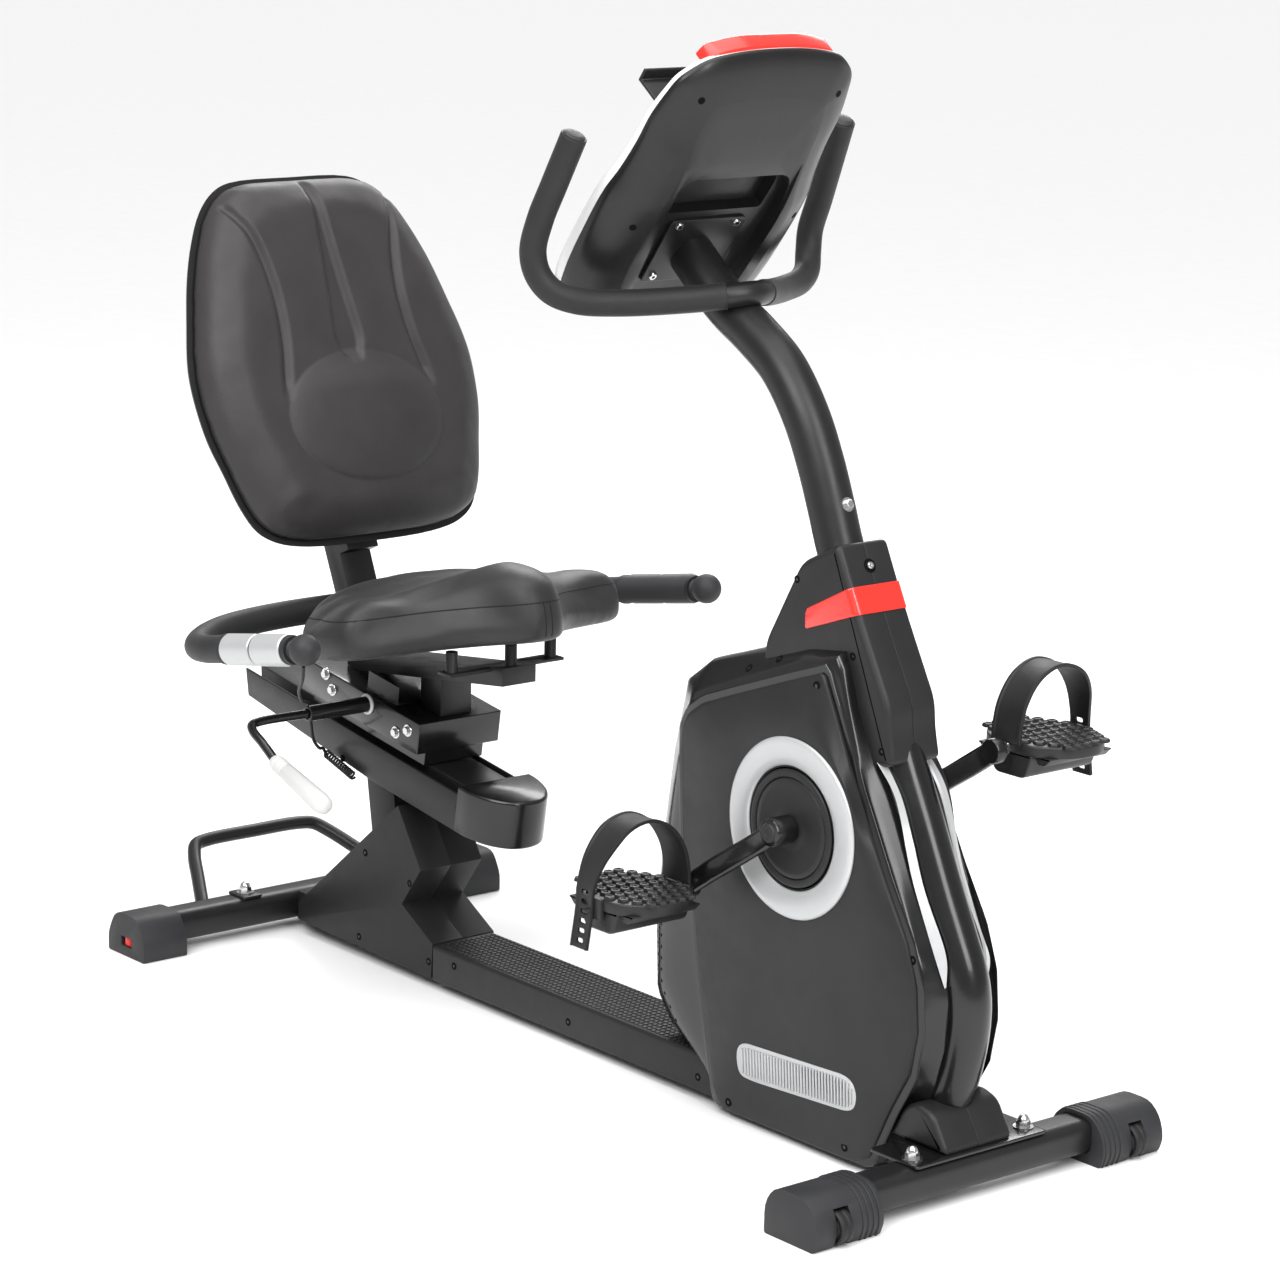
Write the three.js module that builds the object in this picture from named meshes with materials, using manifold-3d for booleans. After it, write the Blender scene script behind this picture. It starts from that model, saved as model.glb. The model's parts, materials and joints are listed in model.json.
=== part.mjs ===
// Recumbent exercise bike, in millimetres: +X forward, +Y to the rider's left, +Z up.
// The layout is drawn with x = 0 on the front stabilizer's centre line and z = 0 on the floor;
// the whole bike is then moved forward by FRAME_SHIFT, so its origin is under its middle.
import * as THREE from 'three';
import { mergeVertices } from 'three/addons/utils/BufferGeometryUtils.js';
import Module from 'manifold-3d';

const wasm = await Module();
wasm.setup();

// ---- driving dimensions ----
const GAP = 0.3;
const FRAME_SHIFT = 710.1;

const FRONT_TUBE_HALF = 218;
const REAR_STABILIZER_X = -1323;
const REAR_TUBE_HALF = 256;
const STABILIZER_WIDTH = 50;
const STABILIZER_LOW = 12;
const STABILIZER_TOP = 54;
const FRONT_CAP_INNER = 174;
const FRONT_CAP_OUTER = 274;
const REAR_CAP_INNER = 232;
const REAR_CAP_OUTER = 301;
const WHEEL = { x: 33, y: 233, z: 21.5, radius: 20, halfWidth: 9.5, pin: 3.5 };
const LEVELLER = { y: 279, low: 14, high: 26, radius: 20, stem: 6, foot: 14 };

const RAIL_HALF_WIDTH = 38;
const RAIL_LOW = 14;
const RAIL_TOP = 54;
const TREAD_HALF_WIDTH = 51;
const TREAD_LOW = 12.4;
const TREAD_TOP = 61;
const TREAD_REAR = -964.5;
const TREAD_FRONT = -372;

const BASE_SHELL_HALF = 51;
const WALL = 3;

const SEAT_RAIL = { x: -904, z: 280, slope: 8.5, halfWidth: 55, depth: 52, beamHalf: 34, beamTop: 4 };
const CARRIAGE = { rear: -350, front: -82, low: 27, top: 70, halfWidth: 67 };
const LEVER_PIVOT = { x: -1091, z: 366 };
const SLEEVE_END = -165;

const MAST_RADIUS = 28;
const SHROUD_HALF = 40;
const HOUSING_BASE = 9;
const SHELL_HALF = 59;
const PANEL_EDGE = 62.5;
const PANEL_FACE = 76;
const RING_FACE = 80;
const CRANK = { x: -235, z: 390, length: 160, angle: 34.9, disc: 70, ringInner: 74, ringOuter: 108 };
const PULLEY = { radius: 95, low: 40, high: 52 };
const FLYWHEEL = { x: -230, z: 165, radius: 103, halfWidth: 13, pulley: 16, shaft: 8 };
const BELT_THICKNESS = 3;
const ARM_EYE = 118;
const AXLE_END = 250;

const CONSOLE = { x: -524.5, z: 1026.5, tilt: 37, rim: -32, face: -55, floor: -3.5 };
const BUTTON_SPOTS = [-34, 0, 34];
const BACK = { x: -1278, z: 800, tilt: 23.3, thickness: 56, shell: 13 };
const PAD = { x: -889, z: 479.5, tilt: 10 };
const HANDLE_Y = 325;

const FINISH = {
  powderCoat: { color: 0x1b1b1c, roughness: 0.42, metalness: 0.3 },
  glossCoat: { color: 0x141415, roughness: 0.25, metalness: 0.4 },
  plastic: { color: 0x262627, roughness: 0.5, metalness: 0 },
  panel: { color: 0x3a3a3b, roughness: 0.55, metalness: 0 },
  cap: { color: 0x48494a, roughness: 0.6, metalness: 0 },
  glossPlastic: { color: 0x0d0d0e, roughness: 0.12, metalness: 0 },
  rubber: { color: 0x161616, roughness: 0.85, metalness: 0 },
  foam: { color: 0x222223, roughness: 0.9, metalness: 0 },
  vinyl: { color: 0x3c3b3c, roughness: 0.6, metalness: 0 },
  silver: { color: 0xd4d6d8, roughness: 0.35, metalness: 0.4 },
  steel: { color: 0xb9bbbd, roughness: 0.3, metalness: 1 },
  red: { color: 0xe23a36, roughness: 0.35, metalness: 0 },
  white: { color: 0xeeeeec, roughness: 0.4, metalness: 0 },
  paleGrip: { color: 0xe4e4e2, roughness: 0.45, metalness: 0 },
};

// ---- solids ----
function toSolid(geometry) {
  const bare = geometry.clone();
  bare.deleteAttribute('normal');
  bare.deleteAttribute('uv');
  const welded = mergeVertices(bare);
  return new wasm.Manifold(new wasm.Mesh({
    numProp: 3,
    vertProperties: new Float32Array(welded.attributes.position.array),
    triVerts: new Uint32Array(welded.index.array),
  }));
}

function toGeometry(solid) {
  const mesh = solid.getMesh();
  const geometry = new THREE.BufferGeometry();
  geometry.setAttribute('position', new THREE.BufferAttribute(new Float32Array(mesh.vertProperties), 3));
  geometry.setIndex(new THREE.BufferAttribute(new Uint32Array(mesh.triVerts), 1));
  geometry.computeVertexNormals();
  return geometry;
}

function join(...geometries) {
  return toGeometry(geometries.map(toSolid).reduce((sum, piece) => sum.add(piece)));
}

function cut(body, ...tools) {
  return toGeometry(tools.map(toSolid).reduce((left, tool) => left.subtract(tool), toSolid(body)));
}

function mirrored(geometry) {
  const twin = geometry.clone().scale(1, -1, 1);
  const index = twin.index ? Array.from(twin.index.array) : [...Array(twin.attributes.position.count).keys()];
  for (let i = 0; i < index.length; i += 3) {
    [index[i + 1], index[i + 2]] = [index[i + 2], index[i + 1]];
  }
  twin.setIndex(index);
  twin.computeVertexNormals();
  return twin;
}

// ---- outlines: lists of [a, b] or [a, b, corner radius] ----
function roundedShape(points) {
  const shape = new THREE.Shape();
  const count = points.length;
  points.forEach(([a, b, radius = 0], i) => {
    const here = new THREE.Vector2(a, b);
    if (radius === 0) {
      shape[i === 0 ? 'moveTo' : 'lineTo'](a, b);
      return;
    }
    const before = new THREE.Vector2(...points[(i + count - 1) % count].slice(0, 2)).sub(here);
    const after = new THREE.Vector2(...points[(i + 1) % count].slice(0, 2)).sub(here);
    const start = here.clone().add(before.setLength(Math.min(radius, before.length() / 2.01)));
    const end = here.clone().add(after.setLength(Math.min(radius, after.length() / 2.01)));
    shape[i === 0 ? 'moveTo' : 'lineTo'](start.x, start.y);
    shape.quadraticCurveTo(a, b, end.x, end.y);
  });
  shape.closePath();
  return shape;
}

function turnsLeft(points) {
  const area = points.reduce((sum, [a, b], i) => {
    const [c, d] = points[(i + 1) % points.length];
    return sum + a * d - b * c;
  }, 0);
  return area > 0;
}

// Moves every edge of an outline inwards by the distance, or outwards where it is negative.
function inset(points, distance) {
  const side = turnsLeft(points) ? 1 : -1;
  const count = points.length;
  return points.map(([a, b, radius = 0], i) => {
    const [pa, pb] = points[(i + count - 1) % count];
    const [na, nb] = points[(i + 1) % count];
    const before = new THREE.Vector2(a - pa, b - pb).normalize();
    const after = new THREE.Vector2(na - a, nb - b).normalize();
    const normal = new THREE.Vector2(-before.y - after.y, before.x + after.x).normalize();
    const spread = Math.max(0.4, normal.x * -after.y + normal.y * after.x);
    const shift = side * distance / spread;
    return [a + normal.x * shift, b + normal.y * shift, radius];
  });
}

// The point where a ray from the centre at each angle leaves the outline.
function sampleByAngle(points, [ca, cb], count) {
  return Array.from({ length: count }, (_, k) => {
    const angle = 2 * Math.PI * k / count;
    const [da, db] = [Math.cos(angle), Math.sin(angle)];
    let reach = 0;
    points.forEach(([a, b], i) => {
      const [c, d] = points[(i + 1) % points.length];
      const det = da * (b - d) - db * (a - c);
      const along = ((a - ca) * (b - d) - (b - cb) * (a - c)) / det;
      const part = (da * (b - cb) - db * (a - ca)) / det;
      if (part >= -1e-9 && part <= 1 + 1e-9 && along > reach) reach = along;
    });
    return [ca + da * reach, cb + db * reach];
  });
}

function smooth(points, count, closed = false) {
  const curve = new THREE.CatmullRomCurve3(points.map(([a, b]) => new THREE.Vector3(a, b, 0)), closed,
      'centripetal');
  return curve.getPoints(count).slice(0, closed ? count : count + 1).map(p => [p.x, p.y]);
}

// ---- shapes ----
const XZ_BASIS = new THREE.Matrix4().makeBasis(
  new THREE.Vector3(1, 0, 0), new THREE.Vector3(0, 0, 1), new THREE.Vector3(0, -1, 0));
const YZ_BASIS = new THREE.Matrix4().makeBasis(
  new THREE.Vector3(0, 1, 0), new THREE.Vector3(0, 0, 1), new THREE.Vector3(1, 0, 0));

function extrude(points, depth) {
  return new THREE.ExtrudeGeometry(roundedShape(points), { depth, bevelEnabled: false, curveSegments: 3 });
}

function plateXZ(points, yLow, yHigh) {
  return extrude(points, yHigh - yLow).applyMatrix4(XZ_BASIS).translate(0, yHigh, 0);
}

function plateYZ(points, xLow, xHigh) {
  return extrude(points, xHigh - xLow).applyMatrix4(YZ_BASIS).translate(xLow, 0, 0);
}

function plateXY(points, zLow, zHigh) {
  return extrude(points, zHigh - zLow).translate(0, 0, zLow);
}

function block(xLow, xHigh, yLow, yHigh, zLow, zHigh) {
  return new THREE.BoxGeometry(xHigh - xLow, yHigh - yLow, zHigh - zLow)
    .translate((xLow + xHigh) / 2, (yLow + yHigh) / 2, (zLow + zHigh) / 2);
}

function rodY(x, z, radius, yLow, yHigh, sides = 20) {
  return new THREE.CylinderGeometry(radius, radius, yHigh - yLow, sides).translate(x, (yLow + yHigh) / 2,
      z);
}

function rodZ(x, y, radius, zLow, zHigh, sides = 12) {
  return new THREE.CylinderGeometry(radius, radius, zHigh - zLow, sides)
    .rotateX(Math.PI / 2).translate(x, y, (zLow + zHigh) / 2);
}

function rodX(y, z, radius, xLow, xHigh, sides = 16) {
  return new THREE.CylinderGeometry(radius, radius, xHigh - xLow, sides)
    .rotateZ(Math.PI / 2).translate((xLow + xHigh) / 2, y, z);
}

// A solid of revolution about the Y direction; the profile is a list of [radius, y].
function latheY(profile, x, z, sides = 40) {
  return new THREE.LatheGeometry(profile.map(([r, y]) => new THREE.Vector2(r, y)), sides).translate(x, 0,
      z);
}

function tube(points, radius, steps, sides = 10) {
  const path = new THREE.CatmullRomCurve3(points.map(p => new THREE.Vector3(...p)), false, 'centripetal');
  const circle = new THREE.Shape(Array.from({ length: sides }, (_, k) => {
    const angle = 2 * Math.PI * k / sides;
    return new THREE.Vector2(radius * Math.cos(angle), radius * Math.sin(angle));
  }));
  return new THREE.ExtrudeGeometry(circle, { extrudePath: path, steps, curveSegments: 1 });
}

// A closed skin through rings of equal length, closed by a fan at each end.
function loft(rings) {
  const size = rings[0].length;
  const positions = rings.flat(2);
  const index = [];
  for (let r = 0; r + 1 < rings.length; r += 1) {
    for (let k = 0; k < size; k += 1) {
      const next = (k + 1) % size;
      const [a, b, c, d] = [r * size + k, r * size + next, (r + 1) * size + next, (r + 1) * size + k];
      index.push(a, b, c, a, c, d);
    }
  }
  [0, rings.length - 1].forEach(r => {
    const centre = rings[r].reduce((sum, p) => sum.map((v, i) => v + p[i] / size), [0, 0, 0]);
    const hub = positions.length / 3;
    positions.push(...centre);
    for (let k = 0; k < size; k += 1) {
      const next = (k + 1) % size;
      const [a, b] = r === 0 ? [next, k] : [k, next];
      index.push(hub, r * size + a, r * size + b);
    }
  });
  const geometry = new THREE.BufferGeometry();
  geometry.setAttribute('position', new THREE.BufferAttribute(new Float32Array(positions), 3));
  geometry.setIndex(index);
  const outward = toSolid(geometry);
  return outward.volume() > 0 ? geometry : flipped(geometry);
}

function flipped(geometry) {
  const index = Array.from(geometry.index.array);
  for (let i = 0; i < index.length; i += 3) {
    [index[i + 1], index[i + 2]] = [index[i + 2], index[i + 1]];
  }
  geometry.setIndex(index);
  return geometry;
}

// ---- the model ----
const bike = new THREE.Group();
bike.position.x = FRAME_SHIFT;

function tiltedGroup(x, z, degrees) {
  const group = new THREE.Group();
  group.position.set(x, 0, z);
  group.rotation.y = THREE.MathUtils.degToRad(degrees);
  bike.add(group);
  group.updateMatrix();
  return group;
}

function addPart(name, geometry, finish, parent = bike) {
  const mesh = new THREE.Mesh(geometry, new THREE.MeshStandardMaterial(FINISH[finish]));
  mesh.name = name;
  parent.add(mesh);
}

function addPair(name, leftGeometry, finish, parent = bike) {
  addPart(`${name}_left`, leftGeometry, finish, parent);
  addPart(`${name}_right`, mirrored(leftGeometry), finish, parent);
}

const railFrame = tiltedGroup(SEAT_RAIL.x, SEAT_RAIL.z, SEAT_RAIL.slope);
const backFrame = tiltedGroup(BACK.x, BACK.z, -BACK.tilt);
const padFrame = tiltedGroup(PAD.x, PAD.z, -PAD.tilt);
const consoleFrame = tiltedGroup(CONSOLE.x, CONSOLE.z, CONSOLE.tilt);

function inBike(geometry, frame) {
  return geometry.clone().applyMatrix4(frame.matrix);
}

// Stabilizers, their caps, wheels and levellers
function stabilizerSection(x, margin = 0) {
  const half = STABILIZER_WIDTH / 2;
  return inset([
    [x - half, STABILIZER_LOW, 14], [x + half, STABILIZER_LOW, 14],
    [x + half, STABILIZER_TOP, 14], [x - half, STABILIZER_TOP, 14]], -margin);
}

function frontStabilizer() {
  addPart('front_stabilizer', plateXZ(stabilizerSection(0), -FRONT_TUBE_HALF, FRONT_TUBE_HALF),
      'powderCoat');
  const outline = [[-42, 0, 4], [40, 0, 4], [47, 18, 8], [42, 42, 14], [24, 60, 14], [-24, 60, 14], [-42,
      38, 14]];
  const pocket = plateXZ(stabilizerSection(0, GAP), FRONT_CAP_INNER - 1, FRONT_TUBE_HALF + GAP);
  const slotHalf = WHEEL.halfWidth + 1.5;
  const slot = block(WHEEL.x - WHEEL.radius - 2, 60, WHEEL.y - slotHalf, WHEEL.y + slotHalf, -1, 45);
  const pin = rodY(WHEEL.x, WHEEL.z, WHEEL.pin, WHEEL.y - slotHalf - 2, WHEEL.y + slotHalf + 2);
  const body = cut(plateXZ(outline, FRONT_CAP_INNER, FRONT_CAP_OUTER), pocket, slot);
  addPair('front_cap', join(body, pin), 'cap');
  const [inner, outer] = [WHEEL.pin + 0.4, WHEEL.radius];
  const [low, high] = [WHEEL.y - WHEEL.halfWidth, WHEEL.y + WHEEL.halfWidth];
  const profile = [[inner, low], [outer - 2, low], [outer, low + 3], [outer, high - 3], [outer - 2, high],
    [inner, high], [inner, low]];
  addPair('transport_wheel', latheY(profile, WHEEL.x, WHEEL.z, 28), 'rubber');
}

function rearStabilizer() {
  const x = REAR_STABILIZER_X;
  addPart('rear_stabilizer', plateXZ(stabilizerSection(x), -REAR_TUBE_HALF, REAR_TUBE_HALF), 'powderCoat');
  const outline = [[x - 45, 0, 4], [x + 45, 0, 4], [x + 45, 26, 8], [x + 28, 58, 14], [x - 28, 58, 14],
    [x - 45, 26, 8]];
  const { y, low, high, radius, stem, foot } = LEVELLER;
  const pocket = plateXZ(stabilizerSection(x, GAP), REAR_CAP_INNER - 1, REAR_TUBE_HALF + GAP);
  const dialPocket = rodZ(x, y, radius + 0.8, low - 0.5, high + 0.5, 24);
  const stemHole = rodZ(x, y, foot + 0.8, -1, low, 20);
  const windowCut = block(x - 13, x + 13, y, REAR_CAP_OUTER + 1, low - 0.5, high + 0.5);
  addPair('rear_cap', cut(plateXZ(outline, REAR_CAP_INNER, REAR_CAP_OUTER), pocket, dialPocket, stemHole,
    windowCut), 'cap');
  const dial = join(rodZ(x, y, radius, low, high, 24), rodZ(x, y, stem, 3, low + 1), rodZ(x, y, foot, 0,
      4, 20));
  addPair('rear_leveller', dial, 'red');
}

function transportHandle() {
  const x = REAR_STABILIZER_X;
  const half = [[x - 15, 166, 33], [x - 77, 135, 63], [x - 117, 115, 83], [x - 136, 100, 93], [x - 140,
      78, 96]];
  const middle = [x - 140, 0, 97];
  const path = [...half, middle, ...half.map(([px, py, pz]) => [px, -py, pz]).reverse()];
  const tool = plateXZ(stabilizerSection(x, GAP), -REAR_TUBE_HALF, REAR_TUBE_HALF);
  addPart('transport_handle', cut(tube(path, 9.5, 36, 10), tool), 'powderCoat');
}

// Ground frame: floor rail with its rear post and flywheel plates, and its plastic covers
const RAIL_SIDE = [[-502, 0], [-490, -37], [-190, -SEAT_RAIL.depth], [0, -SEAT_RAIL.depth], [0, 0]];
const POST_SIDE = [[-1111, 49], [-1153, 300], [-1093, 300], [-1051, 49]];

function mainRail() {
  const rail = block(REAR_STABILIZER_X + STABILIZER_WIDTH / 2 + GAP, -66, -RAIL_HALF_WIDTH, RAIL_HALF_WIDTH,
    RAIL_LOW, RAIL_TOP);
  const post = plateXZ(POST_SIDE, -30, 30);
  const seatRail = inBike(plateXZ(inset(RAIL_SIDE, -GAP), -60, 60), railFrame);
  const { x, z, shaft } = FLYWHEEL;
  const plates = [-1, 1].map(side => cut(
    block(x - 30, x + 30, side * 23 - 3, side * 23 + 3, RAIL_TOP - 5, z + 22),
    rodY(x, z, shaft + 0.5, side * 23 - 4, side * 23 + 4)));
  addPart('main_rail', join(rail, cut(post, seatRail), ...plates), 'powderCoat');
  const outer = [[-TREAD_HALF_WIDTH, TREAD_LOW], [TREAD_HALF_WIDTH, TREAD_LOW],
    [TREAD_HALF_WIDTH, TREAD_TOP, 6], [-TREAD_HALF_WIDTH, TREAD_TOP, 6]];
  const inner = block(TREAD_REAR - 1, TREAD_FRONT + 1, -TREAD_HALF_WIDTH + WALL, TREAD_HALF_WIDTH - WALL,
    TREAD_LOW - 1, RAIL_TOP + 2.5);
  addPart('tread_cover', cut(plateYZ(outer, TREAD_REAR, TREAD_FRONT), inner), 'panel');
}

const BASE_OUTLINE = [[-1277, 20, 3], [-968, 13, 2], [-965, 62], [-1035, 100], [-993, 156], [-1045, 234],
  [-1277, 45]];

function rearBaseShells() {
  const shell = cut(
    plateXZ(BASE_OUTLINE, GAP / 2, BASE_SHELL_HALF),
    plateXZ(inset(BASE_OUTLINE, WALL), -1, BASE_SHELL_HALF - WALL),
    block(-1300, -900, -1, RAIL_HALF_WIDTH + 1, -1, RAIL_TOP + 1),
    plateXZ(inset(POST_SIDE, -0.8), -1, 31));
  addPair('rear_base_shell', shell, 'plastic');
}

// Seat rail, in its own sloping frame: x = 0 at its front end, z = 0 along its top edge
function seatRail() {
  const { halfWidth, depth, beamHalf, beamTop } = SEAT_RAIL;
  const channel = cut(
    plateXZ(RAIL_SIDE, -halfWidth, halfWidth),
    plateXZ([[-510, 10], [-510, -32], [-190, -depth + 5], [1, -depth + 5], [1, 10]],
      -halfWidth + 4, halfWidth - 4));
  const beam = plateXZ([[-496, beamTop], [-488, -34], [-190, -depth + 2], [-1, -depth + 2], [-1, beamTop]],
    -beamHalf, beamHalf);
  addPart('seat_rail', join(channel, beam), 'powderCoat', railFrame);
  const nose = smooth([[GAP, 58], [24, 57], [58, 45], [80, 24], [86, 0], [80, -24], [58, -45], [24, -57],
    [GAP, -58]], 20);
  addPart('seat_rail_nose_cap', plateXY(nose, -depth, 14), 'glossPlastic', railFrame);
}

// Seat carriage: an inverted channel over the beam, with the release lever's sleeve
function seatCarriage() {
  const { rear, front, low, top, halfWidth } = CARRIAGE;
  const wall = 4;
  const pivot = new THREE.Vector3(LEVER_PIVOT.x, 0,
      LEVER_PIVOT.z).applyMatrix4(railFrame.matrix.clone().invert());
  const hollow = block(rear - 1, front - wall, -halfWidth + wall, halfWidth - wall, low - 1, top - wall);
  const cover = cut(block(rear, front, -halfWidth, halfWidth, low, top), hollow);
  const slider = block(rear + 4, front - wall - 3, -48, 48, SEAT_RAIL.beamTop + 2, top - wall + 1);
  const sleeve = rodY(pivot.x, pivot.z, 10.5, SLEEVE_END, -halfWidth + 2, 16);
  const tray = cut(block(-218, -150, -56, 56, top - 1, top + 27), block(-230, -140, -52, 52, top + 4,
      top + 31));
  const bore = rodY(pivot.x, pivot.z, 6.5, SLEEVE_END - 1, -halfWidth - 30, 16);
  addPart('seat_carriage', cut(join(cover, slider, sleeve, tray), bore), 'glossCoat', railFrame);
}

function seatLever() {
  const { x, z } = LEVER_PIVOT;
  const start = -CARRIAGE.halfWidth - 31;
  const path = [[x, start, z], [x, -150, z], [x, -240, z], [x + 4, -254, z - 2], [x + 16, -260, z - 7],
    [x + 40, -262, z - 17], [-1026, -262, 332.3]];
  addPart('lever_rod', tube(path, 6, 24, 10), 'glossCoat');
  const gripStart = new THREE.Vector3(-1024.5, -262, 331.8);
  const gripEnd = new THREE.Vector3(-904, -262, 293.5);
  const length = gripStart.distanceTo(gripEnd);
  const grip = new THREE.LatheGeometry([[0, 0], [8, 0], [10, 4], [13, length - 34], [13.5, length - 18],
    [10, length - 5], [4, length], [0, length]].map(p => new THREE.Vector2(...p)), 16);
  const turn = new THREE.Quaternion().setFromUnitVectors(
    new THREE.Vector3(0, 1, 0), gripEnd.clone().sub(gripStart).normalize());
  addPart('lever_grip', grip.applyQuaternion(turn).translate(...gripStart), 'paleGrip');
}

// Seat frame: post, top beam, cross strap, stand-offs, back post and its cross plates
function seatFrame() {
  const beam = plateXZ([[-1197, 412], [-851, 454.5], [-851, 430.5], [-1194, 388]], -27, 27);
  const post = plateXZ([[-1030, 340], [-1030, 425], [-986, 432], [-986, 340]], -25, 25);
  const carriage = block(CARRIAGE.rear - 20, CARRIAGE.front + 40, -90, 90, -90, CARRIAGE.top + GAP);
  const strap = block(-903, -875, -92, 92, 446, 450);
  const standOffs = [-80, 80].map(y => rodZ(-889, y, 8, 448, 477));
  const frontStandOff = rodZ(-869, 0, 8, 440, 480);
  const backPost = plateXZ([[-1184, 392], [-1152, 392], [-1258, 640], [-1290, 628]], -25, 25);
  const upperPost = inBike(block(-50, -24, -25, 25, -260, -70), backFrame);
  const plates = [-190, -95].map(t => inBike(block(-30, -BACK.shell - GAP, -85, 85, t - 14, t + 14),
      backFrame));
  const body = join(beam, post, strap, ...standOffs, frontStandOff, backPost, upperPost, ...plates);
  addPart('seat_frame', cut(body, inBike(carriage, railFrame)), 'powderCoat');
}

// Back rest, in its own reclined frame: x forward out of the pad, z up along it
const BACK_HALF = [[0, -256], [102, -253], [149, -243], [176, -225], [194, -191], [208, -142], [220, -100],
  [226, -50], [225, 0], [210, 66], [194, 124], [175, 172], [152, 213], [125, 239], [96, 251], [0, 254]];

function symmetric(half) {
  return [...half, ...half.slice(1, -1).reverse().map(([a, b]) => [-a, b])];
}

function padRings(outline, levels) {
  return levels.map(([x, shrink]) => inset(outline, shrink).map(([y, z]) => [x, y, z]));
}

function backRest() {
  const outline = symmetric(BACK_HALF);
  const { thickness, shell } = BACK;
  addPart('seat_back_shell', loft(padRings(outline, [[-shell, 12], [-shell + 5, 3], [0, 0]])), 'plastic',
    backFrame);
  addPart('seat_back_pad', loft(padRings(outline, [[GAP, 3], [24, 4], [44, 16], [thickness, 42]])), 'vinyl',
    backFrame);
}

// Seat pad, in its own frame tilted up at the front: z = 0 on its board
const PAD_HALF = [[0, 112], [24, 107], [44, 88], [66, 52], [104, 20], [150, 4], [196, -6], [224, -20],
  [233, -52], [226, -112], [200, -168], [154, -212], [92, -238], [0, -246]];

function seatPad() {
  const outline = symmetric(PAD_HALF);
  const rings = [[0, 4], [26, 0], [54, 3], [80, 34]].map(
    ([z, shrink]) => inset(outline, shrink).map(([y, x]) => [x, y, z]));
  addPart('seat_pad', loft(rings), 'vinyl', padFrame);
}

// Seat handle bent round behind the pad, with a grip on each arm
function seatHandle() {
  const y = HANDLE_Y;
  const path = (end) => {
    const half = [[end, y, 511.5], [-1037, y, 484], [-1085, y - 1, 475], [-1122, y - 12, 471],
      [-1148, y - 42, 474], [-1164, y - 85, 478], [-1179, 150, 480]];
    return [...half, [-1181, 0, 480], ...half.map(([a, b, c]) => [a, -b, c]).reverse()];
  };
  const steps = 44;
  const backPost = plateXZ([[-1290, 380], [-1146.5, 380], [-1252.7, 640], [-1300, 640]], -26, 26);
  addPart('seat_handle', cut(tube(path(-884.6), 18, steps), backPost), 'foam');
  const bore = tube(path(-884), 18.5, steps);
  const sleeve = tube([[-882, y, 511.9], [-1037, y, 484]], 20.5, 4, 16);
  const ball = new THREE.SphereGeometry(20, 16, 10).translate(-864, y, 515.3);
  addPair('seat_grip', join(cut(sleeve, bore), cut(ball, bore)), 'foam');
}

// Pulse lead from the right grip over the lever sleeve to the rail, with its stretchy coil
function pulseLead() {
  const lead = [[-866, -325, 494], [-878, -318, 476], [-930, -288, 446], [-1000, -236, 412], [-1060,
      -190, 392],
    [-1090, -166, 382], [-1108, -150, 372], [-1122, -138, 350], [-1136, -124, 318], [-1160, -98, 296],
    [-1184, -74, 286], [-1190, -65, 276]];
  const coil = [[-1189, -65, 277], [-1165, -63, 268], [-1130, -63, 258]];
  addPart('pulse_lead', join(tube(lead, 2.2, 26, 6), tube(coil, 6, 6, 8)), 'rubber');
}

// Front frame: saddle on the stabilizer, bent main tube, bottom bracket; then the mast and handlebar
const MAIN_TUBE_PATH = [[-50, 0, 56], [-38, 0, 100], [-24, 0, 140], [-14, 0, 186], [-13, 0, 226], [-21,
    0, 257],
  [-36, 0, 287], [-61, 0, 335], [-98, 0, 411], [-129, 0, 472], [-170, 0, 560], [-212, 0, 640], [-229, 0,
      672]];
const MAST_PATH = [[-230, 0, 673], [-250, 0, 712], [-268, 0, 758], [-288, 0, 805], [-315, 0, 855], [-357,
    0, 906],
  [-405, 0, 938], [-455, 0, 965], [-490, 0, 990], [-540, 0, 1030]];
const TUBE_STEPS = 20;
const TUBE_SIDES = 16;

function frontFrame() {
  const { x, z } = CRANK;
  const gusset = plateXZ([[x - 10, z + 20], [x - 10, z - 20], [-105, 395], [-135, 475]], -5, 5);
  const saddle = block(-57, 22, -104, 104, STABILIZER_TOP + GAP, STABILIZER_TOP + 4);
  const bracket = rodY(x, z, 24, -32, 32);
  const trimmed = cut(tube(MAIN_TUBE_PATH, MAST_RADIUS, TUBE_STEPS, TUBE_SIDES), block(-120, 60, -60, 60,
      0, 55));
  addPart('front_main_tube', cut(join(trimmed, saddle, bracket, gusset), rodY(x, z, 10.5, -40, 40)),
      'glossCoat');
  const plate = block(CONSOLE.floor + GAP, 1, -58, 58, -48, 50);
  const beyond = block(-80, CONSOLE.floor + GAP, -80, 80, -80, 80);
  const mast = cut(
    join(tube(MAST_PATH, MAST_RADIUS, TUBE_STEPS, TUBE_SIDES), inBike(plate, consoleFrame)),
    inBike(beyond, consoleFrame));
  addPart('mast', mast, 'powderCoat');
}

const BAR_HALF = [[-428, 28, 984], [-455, 62, 979], [-503, 130, 974], [-526, 174, 977], [-542, 199, 988],
  [-554, 211, 1008], [-557, 216, 1034], [-543, 217, 1072], [-523, 213, 1114], [-493, 206.7, 1176]];

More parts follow.
